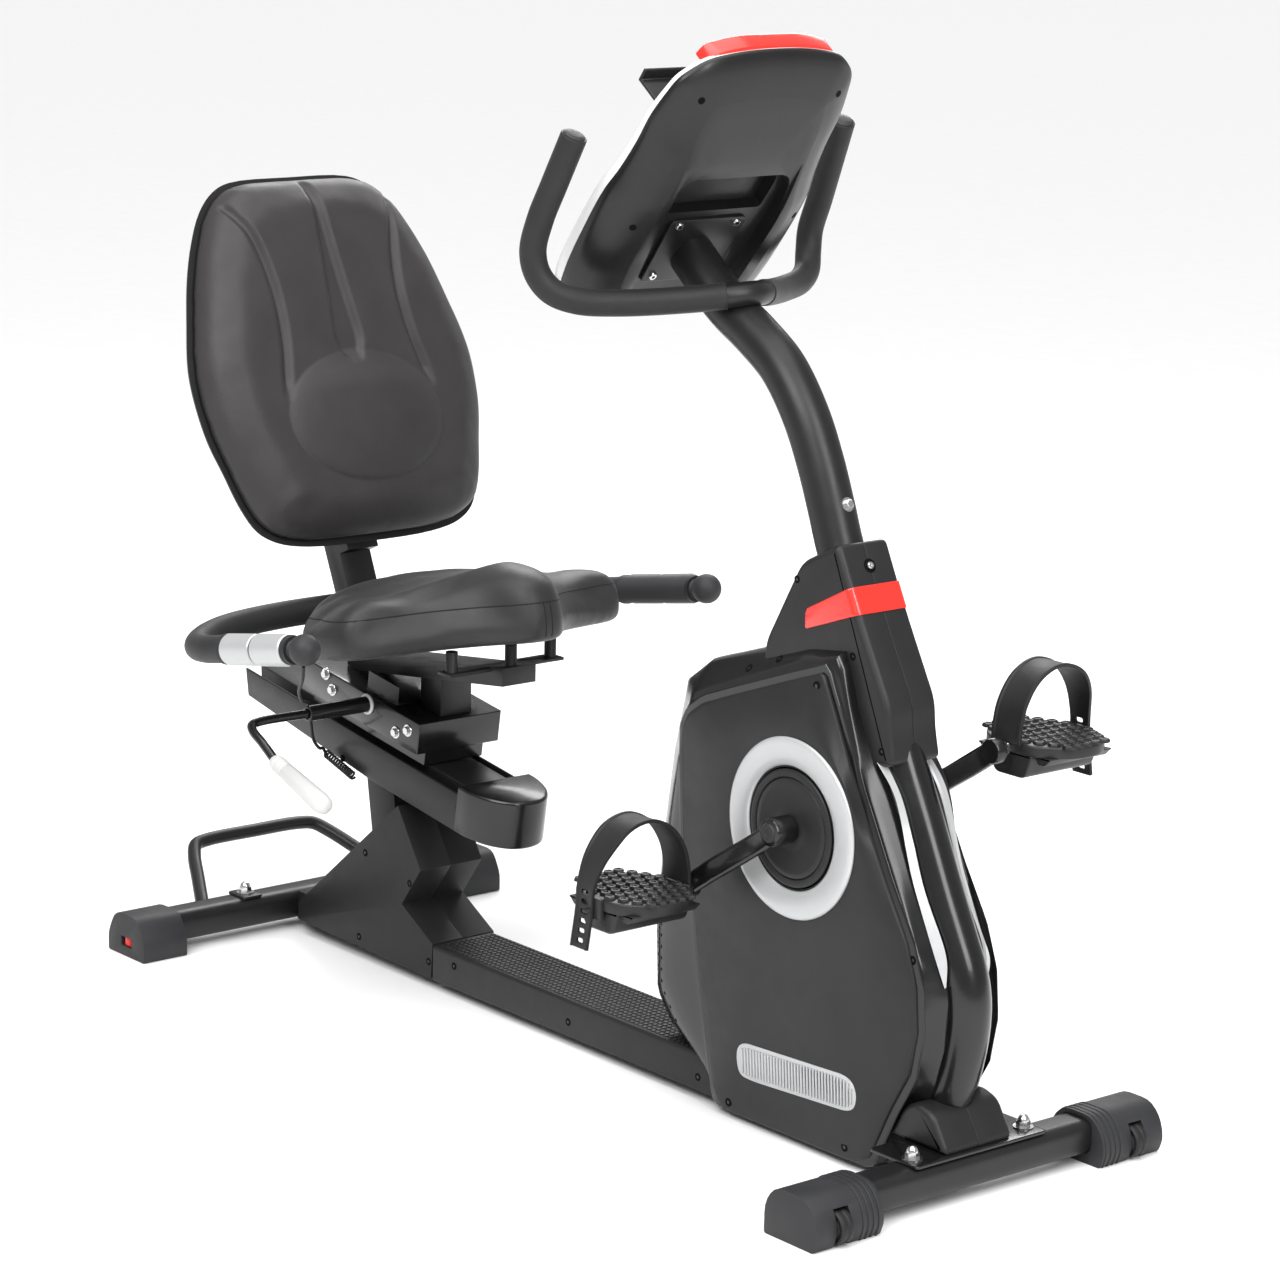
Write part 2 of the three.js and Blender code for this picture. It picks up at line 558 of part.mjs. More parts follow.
function handlebar() {
  const mirrorBar = BAR_HALF.map(([a, b, c]) => [a, -b, c]);
  const path = [...BAR_HALF.toReversed(), [-418, 0, 986], ...mirrorBar];
  const mastTool = tube(MAST_PATH, MAST_RADIUS + GAP, TUBE_STEPS, TUBE_SIDES);
  const steps = 46;
  const trimEnds = [-1, 1].map(side => block(-600, -400, side * 205 - 15, side * 205 + 15, 1171, 1200));
  addPart('handlebar', cut(tube(path, 12.5, steps), mastTool, ...trimEnds), 'powderCoat');
  const sleeve = cut(tube(BAR_HALF, 16, 18, 10), tube(path, 13, steps), mastTool);
  addPair('handlebar_grip', sleeve, 'foam');
}

// Drive: crank axle with its pulley, belt, flywheel, discs, arms and pedals
function drive() {
  const { x, z, disc } = CRANK;
  const { radius, low, high } = PULLEY;
  const axle = latheY([[0, -95], [10, -95], [10, 34], [24, 34], [24, low + 3], [radius - 10, low + 3],
    [radius - 10, low - 1.5], [radius, low - 1.5], [radius, high + 1.5], [radius - 10, high + 1.5],
    [radius - 10, high - 3], [24, high - 3], [24, high + 4], [10, high + 4], [10, 95], [0, 95]], x, z, 28);
  addPart('crank_axle', axle, 'steel');
  const cover = latheY([[10.4, 68], [disc, 68], [disc, 76], [disc - 3, 78.4], [disc - 9, 78.4],
      [disc - 11, 76.4],
    [disc - 14, 78.4], [24, 78.4], [24, 80], [10.4, 80], [10.4, 68]], x, z, 32);
  addPair('crank_disc', cover, 'plastic');
  const wheel = FLYWHEEL;
  const flywheel = latheY([[0, -34], [wheel.shaft, -34], [wheel.shaft, -wheel.halfWidth],
    [wheel.radius, -wheel.halfWidth], [wheel.radius, wheel.halfWidth], [wheel.shaft, wheel.halfWidth],
    [wheel.shaft, low - 2], [wheel.pulley, low - 2], [wheel.pulley, high + 2], [0, high + 2]],
  wheel.x, wheel.z, 32);
  addPart('flywheel', flywheel, 'steel');
  addPart('drive_belt', cut(beltLoop(BELT_THICKNESS + 1.6, low, high), beltLoop(1.6, low - 1, high + 1)),
      'rubber');
}

// The belt runs over the pulley and the flywheel's small pulley at a margin outside both.
function beltLoop(margin, low, high) {
  const top = new THREE.Vector2(CRANK.x, CRANK.z);
  const bottom = new THREE.Vector2(FLYWHEEL.x, FLYWHEEL.z);
  const [topRadius, bottomRadius] = [PULLEY.radius + margin, FLYWHEEL.pulley + margin];
  const axis = top.clone().sub(bottom);
  const lean = Math.asin((topRadius - bottomRadius) / axis.length());
  const up = axis.angle();
  const points = [];
  const arc = (centre, radius, from, to, count) => {
    for (let k = 0; k <= count; k += 1) {
      const angle = from + (to - from) * k / count;
      points.push([centre.x + radius * Math.cos(angle), centre.y + radius * Math.sin(angle)]);
    }
  };
  const side = Math.PI / 2 + lean;
  arc(top, topRadius, up - side, up + side, 24);
  arc(bottom, bottomRadius, up + side, up + 2 * Math.PI - side, 8);
  return plateXZ(points, low, high);
}

function crankArm(degrees) {
  const { x, z, length } = CRANK;
  const bar = plateXY([[-6, 95], [40, 95], [80, 101], [122, 110], [length + 6, 111], [length + 6, 124],
      [118, 123],
    [76, 115], [38, 108], [-6, 108]], -13, 13);
  const boss = rodY(0, 0, 17, 80.5, 114, 20);
  const eye = rodY(length, 0, 15, 111, 125, 20);
  const pedalAxle = join(rodY(length, 0, 6, 120, AXLE_END, 14), rodY(length, 0, 11, 124, 133, 16));
  const arm = cut(join(bar, boss, eye, pedalAxle), rodY(0, 0, 10.3, 70, 95.4, 20));
  return arm.rotateY(-THREE.MathUtils.degToRad(degrees)).translate(x, 0, z);
}

const PEDAL_HALF = [[73, 0], [73, 22, 20], [40, 60, 24], [-40, 60, 24], [-73, 22, 20]];

function pedalGeometry() {
  const middle = ARM_EYE + 83.5;
  const outline = [...PEDAL_HALF.slice(1), ...PEDAL_HALF.slice(1).reverse().map(([a, b, r]) => [a, -b, r])]
    .map(([a, b, r]) => [a, b + middle, r]);
  const platform = plateXY(outline, -5, 10);
  const body = plateXZ([[-34, -4], [-22, -34, 6], [22, -34, 6], [34, -4]], 143, 257);
  const bore = rodY(0, 0, 6.6, 130, AXLE_END + 0.6, 14);
  return cut(join(platform, body), bore);
}

function strapGeometry() {
  const path = smooth([[137, 8], [137.5, 24], [145, 54], [166, 82], [198, 95], [232, 86], [256, 58],
      [267, 22],
    [269, -6], [276, -52]], 26);
  const normals = path.map((_, i) => {
    const [a, b] = path[Math.max(0, i - 1)];
    const [c, d] = path[Math.min(path.length - 1, i + 1)];
    return new THREE.Vector2(b - d, c - a).normalize();
  });
  const offset = side => path.map(([a, b], i) => [a + side * normals[i].x * 1.8,
      b + side * normals[i].y * 1.8]);
  return plateYZ([...offset(1), ...offset(-1).reverse()], -23, 23);
}

function cranksAndPedals() {
  const { x, z, length, angle } = CRANK;
  const reach = THREE.MathUtils.degToRad(angle);
  const spot = side => [x + side * length * Math.cos(reach), 0, z + side * length * Math.sin(reach)];
  addPart('crank_arm_left', crankArm(angle), 'glossCoat');
  addPart('crank_arm_right', mirrored(crankArm(angle + 180)), 'glossCoat');
  addPart('pedal_left', pedalGeometry().translate(...spot(1)), 'plastic');
  addPart('pedal_right', mirrored(pedalGeometry()).translate(...spot(-1)), 'plastic');
  addPart('pedal_strap_left', strapGeometry().translate(...spot(1)), 'rubber');
  addPart('pedal_strap_right', mirrored(strapGeometry()).translate(...spot(-1)), 'rubber');
}

// Housing: two half shells lofted from the centre plane out to domed side panels
const PANEL_OUTLINE = [[-204.5, 579.5], [-271.5, 555.5], [-360.5, 522.5], [-415.5, 501.5], [-441.5, 483.5],
  [-451.5, 464.5], [-451.5, 437.5], [-444.5, 320.5], [-424.5, 257.5], [-409.5, 169.5], [-388.5, 75.5],
  [-377.5, 21.5], [-357.5, 8.5], [-129.5, 9.5], [-102.5, 21.5], [-68.5, 90.5], [-39.5, 140.5],
  [-29.5, 192.5], [-34.5, 247.5], [-52.5, 295.5], [-92.5, 360.5], [-139.5, 447.5], [-180.5, 531.5]];
const SHOULDER_OUTLINE = [[-186, 600], [-250, 586], [-347, 548], [-415, 522], [-448, 508], [-470, 430],
  [-484, 322], [-493, 212], [-490, 130], [-461, 91], [-400, 40], [-350, 11], [-230, 11], [-101, 12],
      [-80, 40],
  [-60, 106], [-33, 165], [-28, 212], [-36, 262], [-84, 362], [-130, 449], [-166, 540]];
const MIDDLE_OUTLINE = [[-150, 620], [-250, 602], [-350, 572], [-440, 542], [-480, 512], [-503, 420],
    [-520, 305],
  [-529, 190], [-524, 110], [-495, 74], [-420, 42], [-350, 11], [-230, 11], [-95, 12], [-66, 50], [-38,
      108],
  [-20, 167], [-16, 226], [-28, 288], [-72, 364], [-110, 450], [-152, 540]];
const SHELL_CENTRE = [-240, 290];

function housingRings(shrink) {
  const centre = inset(MIDDLE_OUTLINE, -5);
  return [[-1, centre], [14, centre], [30, MIDDLE_OUTLINE], [52, SHOULDER_OUTLINE], [57,
      inset(PANEL_OUTLINE, -10)],
    [SHELL_HALF, inset(PANEL_OUTLINE, -8)]].map(([y, outline]) =>
    sampleByAngle(inset(outline, shrink), SHELL_CENTRE, 32).map(([x, z]) =>
      [x, Math.min(y, SHELL_HALF - shrink), Math.max(z, HOUSING_BASE + shrink)]));
}

// A side panel's dome rises from its outline to a flat round field about the crank.
function panelDome(shrink, low, drop) {
  const { x, z, ringOuter } = CRANK;
  const outline = sampleByAngle(inset(PANEL_OUTLINE, shrink), [x, z], 36);
  const rise = PANEL_FACE - PANEL_EDGE;
  const ring = (part, y) => outline.map(([a, b]) => {
    const reach = Math.hypot(a - x, b - z);
    const scale = (reach + (Math.min(ringOuter + 4, reach) - reach) * part) / reach;
    return [x + (a - x) * scale, y, z + (b - z) * scale];
  });
  return loft([ring(0, low), ring(0, PANEL_EDGE - drop), ring(0.3, PANEL_EDGE + rise * 0.5 - drop),
    ring(0.65, PANEL_EDGE + rise * 0.86 - drop), ring(1, PANEL_FACE - drop)]);
}

const FOOT_OUTLINE = [[-78, 58.6], [-56, 98, 10], [-36, 108, 10], [-8, 100, 10], [14, 64, 4], [14, 58.6]];
const SHROUD_OUTLINE = [[-212, 725, 6], [-275, 694, 14], [-291, 666], [-335, 588], [-335, 558], [-209, 558],
  [-187, 498, 14], [-157, 472, 12], [-109, 484, 6], [-117, 518, 10], [-120, 551, 14], [-176, 652]];

function housing() {
  const { x, z } = CRANK;
  const inside = loft(housingRings(WALL));
  const cuts = [
    inside,
    block(-700, 100, -20, GAP / 2, -10, 800),
    rodY(x, z, CRANK.ringOuter, 50, 90, 40),
    plateXZ(inset(SHROUD_OUTLINE, -0.6), -1, SHROUD_HALF + 0.6),
    plateXZ(inset(FOOT_OUTLINE, -0.6), -1, 54.6),
    block(-58.5, 30, -1, 106, 50, 60),
    tube(MAIN_TUBE_PATH, MAST_RADIUS + 0.7, TUBE_STEPS, TUBE_SIDES),
    block(-600, TREAD_FRONT + 15, -1, TREAD_HALF_WIDTH + 0.6, -1, TREAD_TOP + 0.6),
    block(-600, -50, -1, RAIL_HALF_WIDTH + 1, -1, RAIL_TOP + 1),
  ];
  addPair('housing_shell', cut(loft(housingRings(0)), ...cuts), 'glossPlastic');
  const panel = cut(panelDome(0, SHELL_HALF + GAP, 0), panelDome(4, SHELL_HALF - 1, WALL),
    rodY(x, z, CRANK.disc + 1.5, 50, 90, 40));
  addPair('side_panel', panel, 'panel');
  const { ringInner, ringOuter } = CRANK;
  const ring = [[ringInner, PANEL_FACE + GAP], [ringOuter, PANEL_FACE + GAP], [ringOuter, RING_FACE - 1.5],
    [ringOuter - 4, RING_FACE], [ringInner + 3, RING_FACE], [ringInner, RING_FACE - 1.5],
    [ringInner, PANEL_FACE + GAP]];
  addPair('ring_trim', latheY(ring, x, z, 40), 'silver');
}

function upperShroud() {
  const mastTool = tube(MAST_PATH, MAST_RADIUS + 0.7, TUBE_STEPS, TUBE_SIDES);
  const tubeTool = tube(MAIN_TUBE_PATH, MAST_RADIUS + 0.7, TUBE_STEPS, TUBE_SIDES);
  const below = block(-331, -212, -1, SHROUD_HALF - WALL, 540, 598);
  const half = cut(
    plateXZ(SHROUD_OUTLINE, GAP / 2, SHROUD_HALF),
    plateXZ(inset(SHROUD_OUTLINE, WALL), -1, SHROUD_HALF - WALL),
    mastTool, tubeTool, below);
  addPair('upper_shroud', half, 'plastic');
  const band = plateXZ([[-261, 617, 9], [-261, 641, 9], [-187.6, 678.5], [-172, 649.4]],
    -SHROUD_HALF - 1.6, SHROUD_HALF + 1.6);
  const core = plateXZ(inset(SHROUD_OUTLINE, -GAP), -SHROUD_HALF - GAP, SHROUD_HALF + GAP);
  addPart('shroud_stripe', cut(band, core), 'red');
}

function footCover() {
  const hollow = [[-73, 50], [-73, 60], [-53.5, 96, 8], [-36, 105, 8], [-10, 97.5, 8], [11, 62], [11, 50]];
  const cover = cut(
    plateXZ(FOOT_OUTLINE, -54, 54),
    plateXZ(hollow, -54 + WALL, 54 - WALL),
    tube(MAIN_TUBE_PATH, MAST_RADIUS + 0.7, TUBE_STEPS, TUBE_SIDES));
  addPart('front_foot_cover', cover, 'plastic');
}

// Console, in its own tilted frame: x out of its back, z up along it
const CONSOLE_HALF = [[0, -104], [110, -102], [140, -84], [151, -48], [156, 23], [155, 78], [148, 110],
    [144, 150],
  [144, 192], [138, 224], [131, 246], [117, 261], [98, 273], [55, 282], [0, 285]];

function consoleUnit() {
  const outline = symmetric(CONSOLE_HALF);
  const { rim, face, floor } = CONSOLE;
  const depth = (x, z) => rim + (x - rim) * (1 - 0.45 * THREE.MathUtils.smoothstep(z, 60, 285));
  const dish = (levels) => loft(levels.map(([x, shrink]) =>
    inset(outline, shrink).map(([y, z]) => [depth(x, z), y, z])));
  const outer = dish([[rim, 0], [-20, 1], [-4, 12], [8, 30], [16, 52]]);
  const inner = dish([[rim - 1, 3], [-22, 4], [-7, 16], [4, 34], [12, 56]]);
  const recess = plateYZ([[-78, -90], [78, -90], [92, 60, 20], [84, 124, 20], [-84, 124, 20], [-92, 60,
      20]],
    floor, 60);
  const tray = plateYZ([[-81, -93], [81, -93], [95, 62, 20], [87, 127, 20], [-87, 127, 20], [-95, 62, 20]],
    floor - WALL, 14);
  const solidCore = toGeometry(toSolid(outer).intersect(toSolid(tray)));
  addPart('console_back_shell', cut(join(cut(outer, inner), solidCore), recess), 'plastic', consoleFrame);
  const sockets = BUTTON_SPOTS.map(y => rodX(y, -52, 9.5, face - 5, face + 6));
  const faceAt = z => face + 8 - (150 - z) * 0.045;
  const bezel = loft([[0, 0], [0.7, 3], [1, 9]].map(([part, shrink]) =>
    inset(outline, shrink).map(([y, z]) => [rim - GAP + (faceAt(z) - rim + GAP) * part, y, z])));
  const topCap = plateYZ([[-97, 262], [97, 262], [91, 278, 6], [50, 287], [-50, 287], [-91, 278, 6]],
      -56, -40);
  const rimTool = dish([[rim - 0.1, -GAP], [-20, 0.7], [0, 16]]);
  addPart('console_bezel', cut(join(bezel, topCap), rimTool, ...sockets), 'white', consoleFrame);
  BUTTON_SPOTS.forEach((y, i) => {
    addPart(`console_button_${i + 1}`, rodX(y, -52, 9, face - 4, face + 4), 'plastic', consoleFrame);
  });
  const rack = join(block(-108, face + 10, -106, 106, 176, 180), block(-108, -104, -106, 106, 177, 194));
  addPart('reading_rack', cut(rack, block(faceAt(180) - 1, 0, -200, 200, 150, 220)), 'plastic',
      consoleFrame);
}

frontStabilizer();
rearStabilizer();
transportHandle();
mainRail();
rearBaseShells();
seatRail();
seatCarriage();
seatLever();
seatFrame();
backRest();
seatPad();
seatHandle();
pulseLead();
frontFrame();
handlebar();
drive();
cranksAndPedals();
housing();
upperShroud();
footCover();
consoleUnit();

export default bike;
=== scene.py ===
"""A recumbent exercise bike: the looks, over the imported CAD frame.

Layout sizes are in millimetres, with x = 0 on the front stabilizer and z = 0 on the floor,
as in the part's source; place() moves them into the frame, in metres."""
import json
import math

import bmesh
import bpy
from mathutils import Matrix, Vector

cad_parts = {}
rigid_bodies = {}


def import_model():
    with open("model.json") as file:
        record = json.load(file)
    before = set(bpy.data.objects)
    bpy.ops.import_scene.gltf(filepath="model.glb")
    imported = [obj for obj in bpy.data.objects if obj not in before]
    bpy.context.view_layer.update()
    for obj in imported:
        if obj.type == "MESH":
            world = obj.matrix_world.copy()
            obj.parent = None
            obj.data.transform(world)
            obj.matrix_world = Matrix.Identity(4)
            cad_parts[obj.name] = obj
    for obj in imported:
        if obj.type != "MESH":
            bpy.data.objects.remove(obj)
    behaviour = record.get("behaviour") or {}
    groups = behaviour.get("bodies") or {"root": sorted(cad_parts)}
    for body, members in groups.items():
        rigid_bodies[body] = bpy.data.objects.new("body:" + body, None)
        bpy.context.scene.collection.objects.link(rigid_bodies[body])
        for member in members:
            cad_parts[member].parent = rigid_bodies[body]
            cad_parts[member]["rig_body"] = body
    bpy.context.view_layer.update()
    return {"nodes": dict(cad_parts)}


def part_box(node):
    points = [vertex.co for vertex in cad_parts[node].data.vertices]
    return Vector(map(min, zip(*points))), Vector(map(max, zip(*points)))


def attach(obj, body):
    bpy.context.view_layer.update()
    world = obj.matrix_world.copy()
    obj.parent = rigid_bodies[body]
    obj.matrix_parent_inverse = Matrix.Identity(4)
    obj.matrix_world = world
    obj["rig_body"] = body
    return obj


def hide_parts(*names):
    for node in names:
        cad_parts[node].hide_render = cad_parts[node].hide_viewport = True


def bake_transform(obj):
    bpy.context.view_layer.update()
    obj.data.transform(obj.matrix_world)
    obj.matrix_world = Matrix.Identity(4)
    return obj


MM = 0.001
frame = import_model()
NODES = frame["nodes"]

LOW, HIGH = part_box("front_stabilizer")
SHIFT = (LOW.x + HIGH.x) / 2
TUBE_SIDES = 32
CRANK_X, CRANK_Z, CRANK_LENGTH, CRANK_ANGLE = -235, 390, 160, math.radians(34.9)
CRANK_SPOT = (CRANK_X, 0, CRANK_Z)
PANEL_EDGE, PANEL_FACE = 62.5, 76
SHROUD_HALF = 40


def place(x, y, z):
    return Vector((x * MM + SHIFT, y * MM, z * MM))


def tilted(x, z, degrees):
    """The matrix of a tilted frame of the part's source, in millimetres of the layout."""
    return Matrix.Translation((x, 0, z)) @ Matrix.Rotation(math.radians(degrees), 4, "Y")


RAIL = tilted(-904, 280, 8.5)
BACK = tilted(-1278, 800, -23.3)
PAD = tilted(-889, 479.5, -10)
CONSOLE = tilted(-524.5, 1026.5, 37)
LEVEL = Matrix.Identity(4)


# ---- materials ----
NOISE_RANGE = (0.3, 0.7)
PATCH_SCALE = 14


def texture(tree, kind, scale, **values):
    coordinates = tree.nodes.new("ShaderNodeTexCoord")
    node = tree.nodes.new(f"ShaderNodeTex{kind}")
    tree.links.new(coordinates.outputs["Object"], node.inputs["Vector"])
    node.inputs["Scale"].default_value = scale
    for key, value in values.items():
        node.inputs[key].default_value = value
    return node


def mottle(tree, principled, colour, spread, scale):
    """Lets the colour wander a little over the surface."""
    noise = texture(tree, "Noise", scale, Detail=4)
    ramp = tree.nodes.new("ShaderNodeValToRGB")
    for element, position, factor in zip(ramp.color_ramp.elements, NOISE_RANGE, (1 - spread, 1 + spread)):
        element.position = position
        element.color = [c * factor for c in colour] + [1]
    tree.links.new(noise.outputs["Fac"], ramp.inputs["Fac"])
    tree.links.new(ramp.outputs["Color"], principled.inputs["Base Color"])


def roughen(tree, principled, limits, scale):
    """Lets the roughness wander between its limits."""
    noise = texture(tree, "Noise", scale, Detail=5, Roughness=0.6)
    remap = tree.nodes.new("ShaderNodeMapRange")
    for key, value in zip(("From Min", "From Max", "To Min", "To Max"), NOISE_RANGE + limits):
        remap.inputs[key].default_value = value
    tree.links.new(noise.outputs["Fac"], remap.inputs["Value"])
    tree.links.new(remap.outputs["Result"], principled.inputs["Roughness"])


def bumps(tree, principled, layers):
    """layers: (texture kind, scale, height in mm, output) from the broadest to the finest."""
    normal = None
    for kind, scale, height, output in layers:
        pattern = texture(tree, kind, scale)
        bump = tree.nodes.new("ShaderNodeBump")
        bump.inputs["Strength"].default_value = 1
        bump.inputs["Distance"].default_value = height * MM
        tree.links.new(pattern.outputs[output], bump.inputs["Height"])
        if normal:
            tree.links.new(normal, bump.inputs["Normal"])
        normal = bump.outputs["Normal"]
    tree.links.new(normal, principled.inputs["Normal"])


def finish(name, slot, colour, rough, layers, spread=0.12, metal=0.0, coat=0.0, sheen=0.0, specular=0.5):
    """A material; rough is its lowest and highest roughness, layers are its bumps."""
    material = bpy.data.materials.new(name)
    material.use_nodes = True
    material["slot"] = slot
    tree = material.node_tree
    principled = tree.nodes["Principled BSDF"]
    mottle(tree, principled, colour, spread, PATCH_SCALE)
    roughen(tree, principled, rough, PATCH_SCALE * 3)
    bumps(tree, principled, layers)
    for key, value in (("Metallic", metal), ("Coat Weight", coat), ("Coat Roughness", 0.08),
                       ("Sheen Weight", sheen), ("Sheen Roughness", 0.4), ("Specular IOR Level", specular)):
        principled.inputs[key].default_value = value
    return material


POWDER = finish("powder_coat", "frame_paint", (0.0085, 0.0085, 0.0092), (0.34, 0.42),
                [("Noise", 900, 0.03, "Fac")], specular=0.36)
GLOSS_PAINT = finish("gloss_paint", "gloss_paint", (0.005, 0.005, 0.0055), (0.2, 0.27),
                     [("Noise", 500, 0.012, "Fac")], coat=0.2, specular=0.4)
GLOSS = finish("gloss_plastic", "housing_plastic", (0.0055, 0.0055, 0.006), (0.2, 0.27),
               [("Noise", 60, 0.012, "Fac")], coat=0.2, specular=0.4)
PANEL = finish("panel_plastic", "panel_plastic", (0.0125, 0.0125, 0.0134), (0.4, 0.48),
               [("Noise", 1300, 0.035, "Fac"), ("Voronoi", 2600, 0.015, "Distance")], specular=0.3)
CAP = finish("cap_plastic", "cap_plastic", (0.022, 0.0223, 0.024), (0.48, 0.58),
             [("Voronoi", 1400, 0.05, "Distance"), ("Noise", 2400, 0.02, "Fac")], specular=0.32)
CONSOLE_PLASTIC = finish("console_plastic", "console_plastic", (0.0085, 0.0085, 0.0092), (0.27, 0.34),
                         [("Noise", 1800, 0.014, "Fac")], specular=0.36)
WHITE = finish("white_plastic", "console_white", (0.74, 0.74, 0.735), (0.2, 0.26),
               [("Noise", 90, 0.012, "Fac")], spread=0.02)
BUTTON = finish("button_plastic", "button_plastic", (0.16, 0.16, 0.17), (0.5, 0.6),
                [("Noise", 1500, 0.03, "Fac")])
RED = finish("red_plastic", "trim_red", (0.68, 0.022, 0.014), (0.2, 0.28),
             [("Noise", 120, 0.012, "Fac")], spread=0.05, coat=0.25)
SILVER = finish("silver_trim", "trim_silver", (0.47, 0.475, 0.48), (0.3, 0.34),
                [("Noise", 1600, 0.006, "Fac")], spread=0.02, metal=0.35)
FOAM = finish("grip_foam", "grip_foam", (0.0125, 0.0125, 0.0132), (0.5, 0.6),
              [("Noise", 160, 0.12, "Fac"), ("Voronoi", 1500, 0.1, "Distance")], sheen=0.06, specular=0.32)
RUBBER = finish("black_rubber", "black_rubber", (0.011, 0.011, 0.0114), (0.48, 0.6),
                [("Noise", 1100, 0.035, "Fac")], specular=0.32)
PEDAL = finish("pedal_plastic", "pedal_plastic", (0.014, 0.014, 0.0148), (0.38, 0.48),
               [("Noise", 1200, 0.04, "Fac")], specular=0.34)
STEEL = finish("bright_steel", "machined_steel", (0.6, 0.6, 0.61), (0.18, 0.28),
               [("Noise", 700, 0.008, "Fac")], spread=0.05, metal=1.0)
IRON = finish("flywheel_iron", "flywheel_iron", (0.2, 0.2, 0.21), (0.35, 0.5),
              [("Noise", 500, 0.06, "Fac")], metal=1.0)
VINYL_GRAIN = [("Noise", 30, 0.4, "Fac"), ("Voronoi", 620, 0.11, "Distance"), ("Noise", 1500, 0.04, "Fac")]
VINYL = finish("back_vinyl", "seat_vinyl", (0.0275, 0.0252, 0.0256), (0.44, 0.54), VINYL_GRAIN,
               sheen=0.05, specular=0.34)
SEAT_VINYL = finish("seat_vinyl", "seat_vinyl", (0.0195, 0.0186, 0.0192), (0.42, 0.52), VINYL_GRAIN,
                    sheen=0.05, specular=0.34)
THREAD = finish("seat_thread", "seat_vinyl", (0.006, 0.0058, 0.0058), (0.6, 0.75),
                [("Noise", 2500, 0.05, "Fac")], specular=0.3)
IVORY = finish("lever_plastic", "lever_plastic", (0.56, 0.56, 0.55), (0.3, 0.38),
               [("Noise", 300, 0.03, "Fac")], spread=0.03)
# Near black, for painted shade: flat discs laid where vent openings, screw pockets and sockets are, which
# are not cut as real openings.
PAINTED_SHADE = finish("painted_hole_shade", "panel_plastic", (0.0012, 0.0012, 0.0012), (0.7, 0.8),
              [("Noise", 500, 0.02, "Fac")], specular=0.1)


# ---- paths, outlines and profiles ----
def spline(points, step=4.0, closed=False, per_span=0):
    """Centripetal Catmull-Rom points along a path, about a step apart or so many to a span."""
    knots = [Vector(p) for p in points]
    if closed:
        ends = [knots[-1]] + knots + knots[:2]
    else:
        ends = [knots[0] * 2 - knots[1]] + knots + [knots[-1] * 2 - knots[-2]]
    path = []
    for a, b, c, d in zip(ends, ends[1:], ends[2:], ends[3:]):
        times = [0.0]
        for p, q in ((a, b), (b, c), (c, d)):
            times.append(times[-1] + max((q - p).length, 1e-6) ** 0.5)
        count = per_span or max(2, round((c - b).length / step))
        for k in range(count):
            t = times[1] + (times[2] - times[1]) * k / count
            path.append(catmull(a, b, c, d, times, t))
    if not closed:
        path.append(knots[-1])
    return path


def catmull(a, b, c, d, times, t):
    def mix(p, q, t0, t1):
        return p.lerp(q, (t - t0) / (t1 - t0))

    t0, t1, t2, t3 = times
    ab, bc, cd = mix(a, b, t0, t1), mix(b, c, t1, t2), mix(c, d, t2, t3)
    return mix(mix(ab, bc, t0, t2), mix(bc, cd, t1, t3), t1, t2)


def rounded(points, segments=6):
    """An outline of (a, b) or (a, b, radius) with its corners turned into arcs."""
    outline = []
    count = len(points)
    for i, point in enumerate(points):
        here = Vector(point[:2])
        radius = point[2] if len(point) > 2 else 0
        if not radius:
            outline.append(here)
            continue
        before = Vector(points[i - 1][:2]) - here
        after = Vector(points[(i + 1) % count][:2]) - here
        start = here + before.normalized() * min(radius, before.length / 2.01)
        end = here + after.normalized() * min(radius, after.length / 2.01)
        for k in range(segments + 1):
            t = k / segments
            outline.append(start * (1 - t) ** 2 + here * 2 * t * (1 - t) + end * t * t)
    return outline


def rectangle(a_low, a_high, b_low, b_high, radius=0, segments=6):
    return rounded([(a_low, b_low, radius), (a_high, b_low, radius), (a_high, b_high, radius),
                    (a_low, b_high, radius)], segments)


def with_other_half(half, middle=()):
    """A list of (a, b, c) from the left side over the middle to its mirror image."""
    return half + list(middle) + [(a, -b, c) for a, b, c in reversed(half)]


def disc(radius, low, high):
    """The profile of a plain disc for lathe()."""
    return [(0, low), (radius, low), (radius, high), (0, high)]


def inset(outline, distance):
    """Moves an outline's edges inwards, or outwards where the distance is negative."""
    points = [Vector(p[:2]) for p in outline]
    area = sum(a.x * b.y - a.y * b.x for a, b in zip(points, points[1:] + points[:1]))
    side = 1 if area > 0 else -1
    moved = []
    for i, here in enumerate(points):
        before = (here - points[i - 1]).normalized()
        after = (points[(i + 1) % len(points)] - here).normalized()
        normal = Vector((-before.y - after.y, before.x + after.x)).normalized()
        spread = max(0.4, -normal.x * after.y + normal.y * after.x)
        moved.append(here + normal * side * distance / spread)
    return moved


def even(outline, count, closed=True):
    """Points spread evenly along an outline, starting at its first point."""
    ring = list(outline) + ([outline[0]] if closed else [])
    lengths = [0.0]
    for a, b in zip(ring, ring[1:]):
        lengths.append(lengths[-1] + (b - a).length)
    spots, i = [], 0
    for k in range(count):
        goal = lengths[-1] * k / (count if closed else count - 1) * 0.999999
        while lengths[i + 1] < goal:
            i += 1
        span = lengths[i + 1] - lengths[i] or 1
        spots.append(ring[i].lerp(ring[i + 1], (goal - lengths[i]) / span))
    return spots


def symmetric(half):
    """The closed outline of half an outline that starts and ends on the axis a = 0."""
    return [Vector(p) for p in half] + [Vector((-a, b)) for a, b in half[-2:0:-1]]


def cubic(a, b, c, d, t):
    """The value between b and c at the share t, on a smooth curve from a to d."""
    return (b + (c - a) * (t / 2) + (a * 2 - b * 5 + c * 4 - d) * (t * t / 2)
            + (b * 3 - a - c * 3 + d) * (t ** 3 / 2))


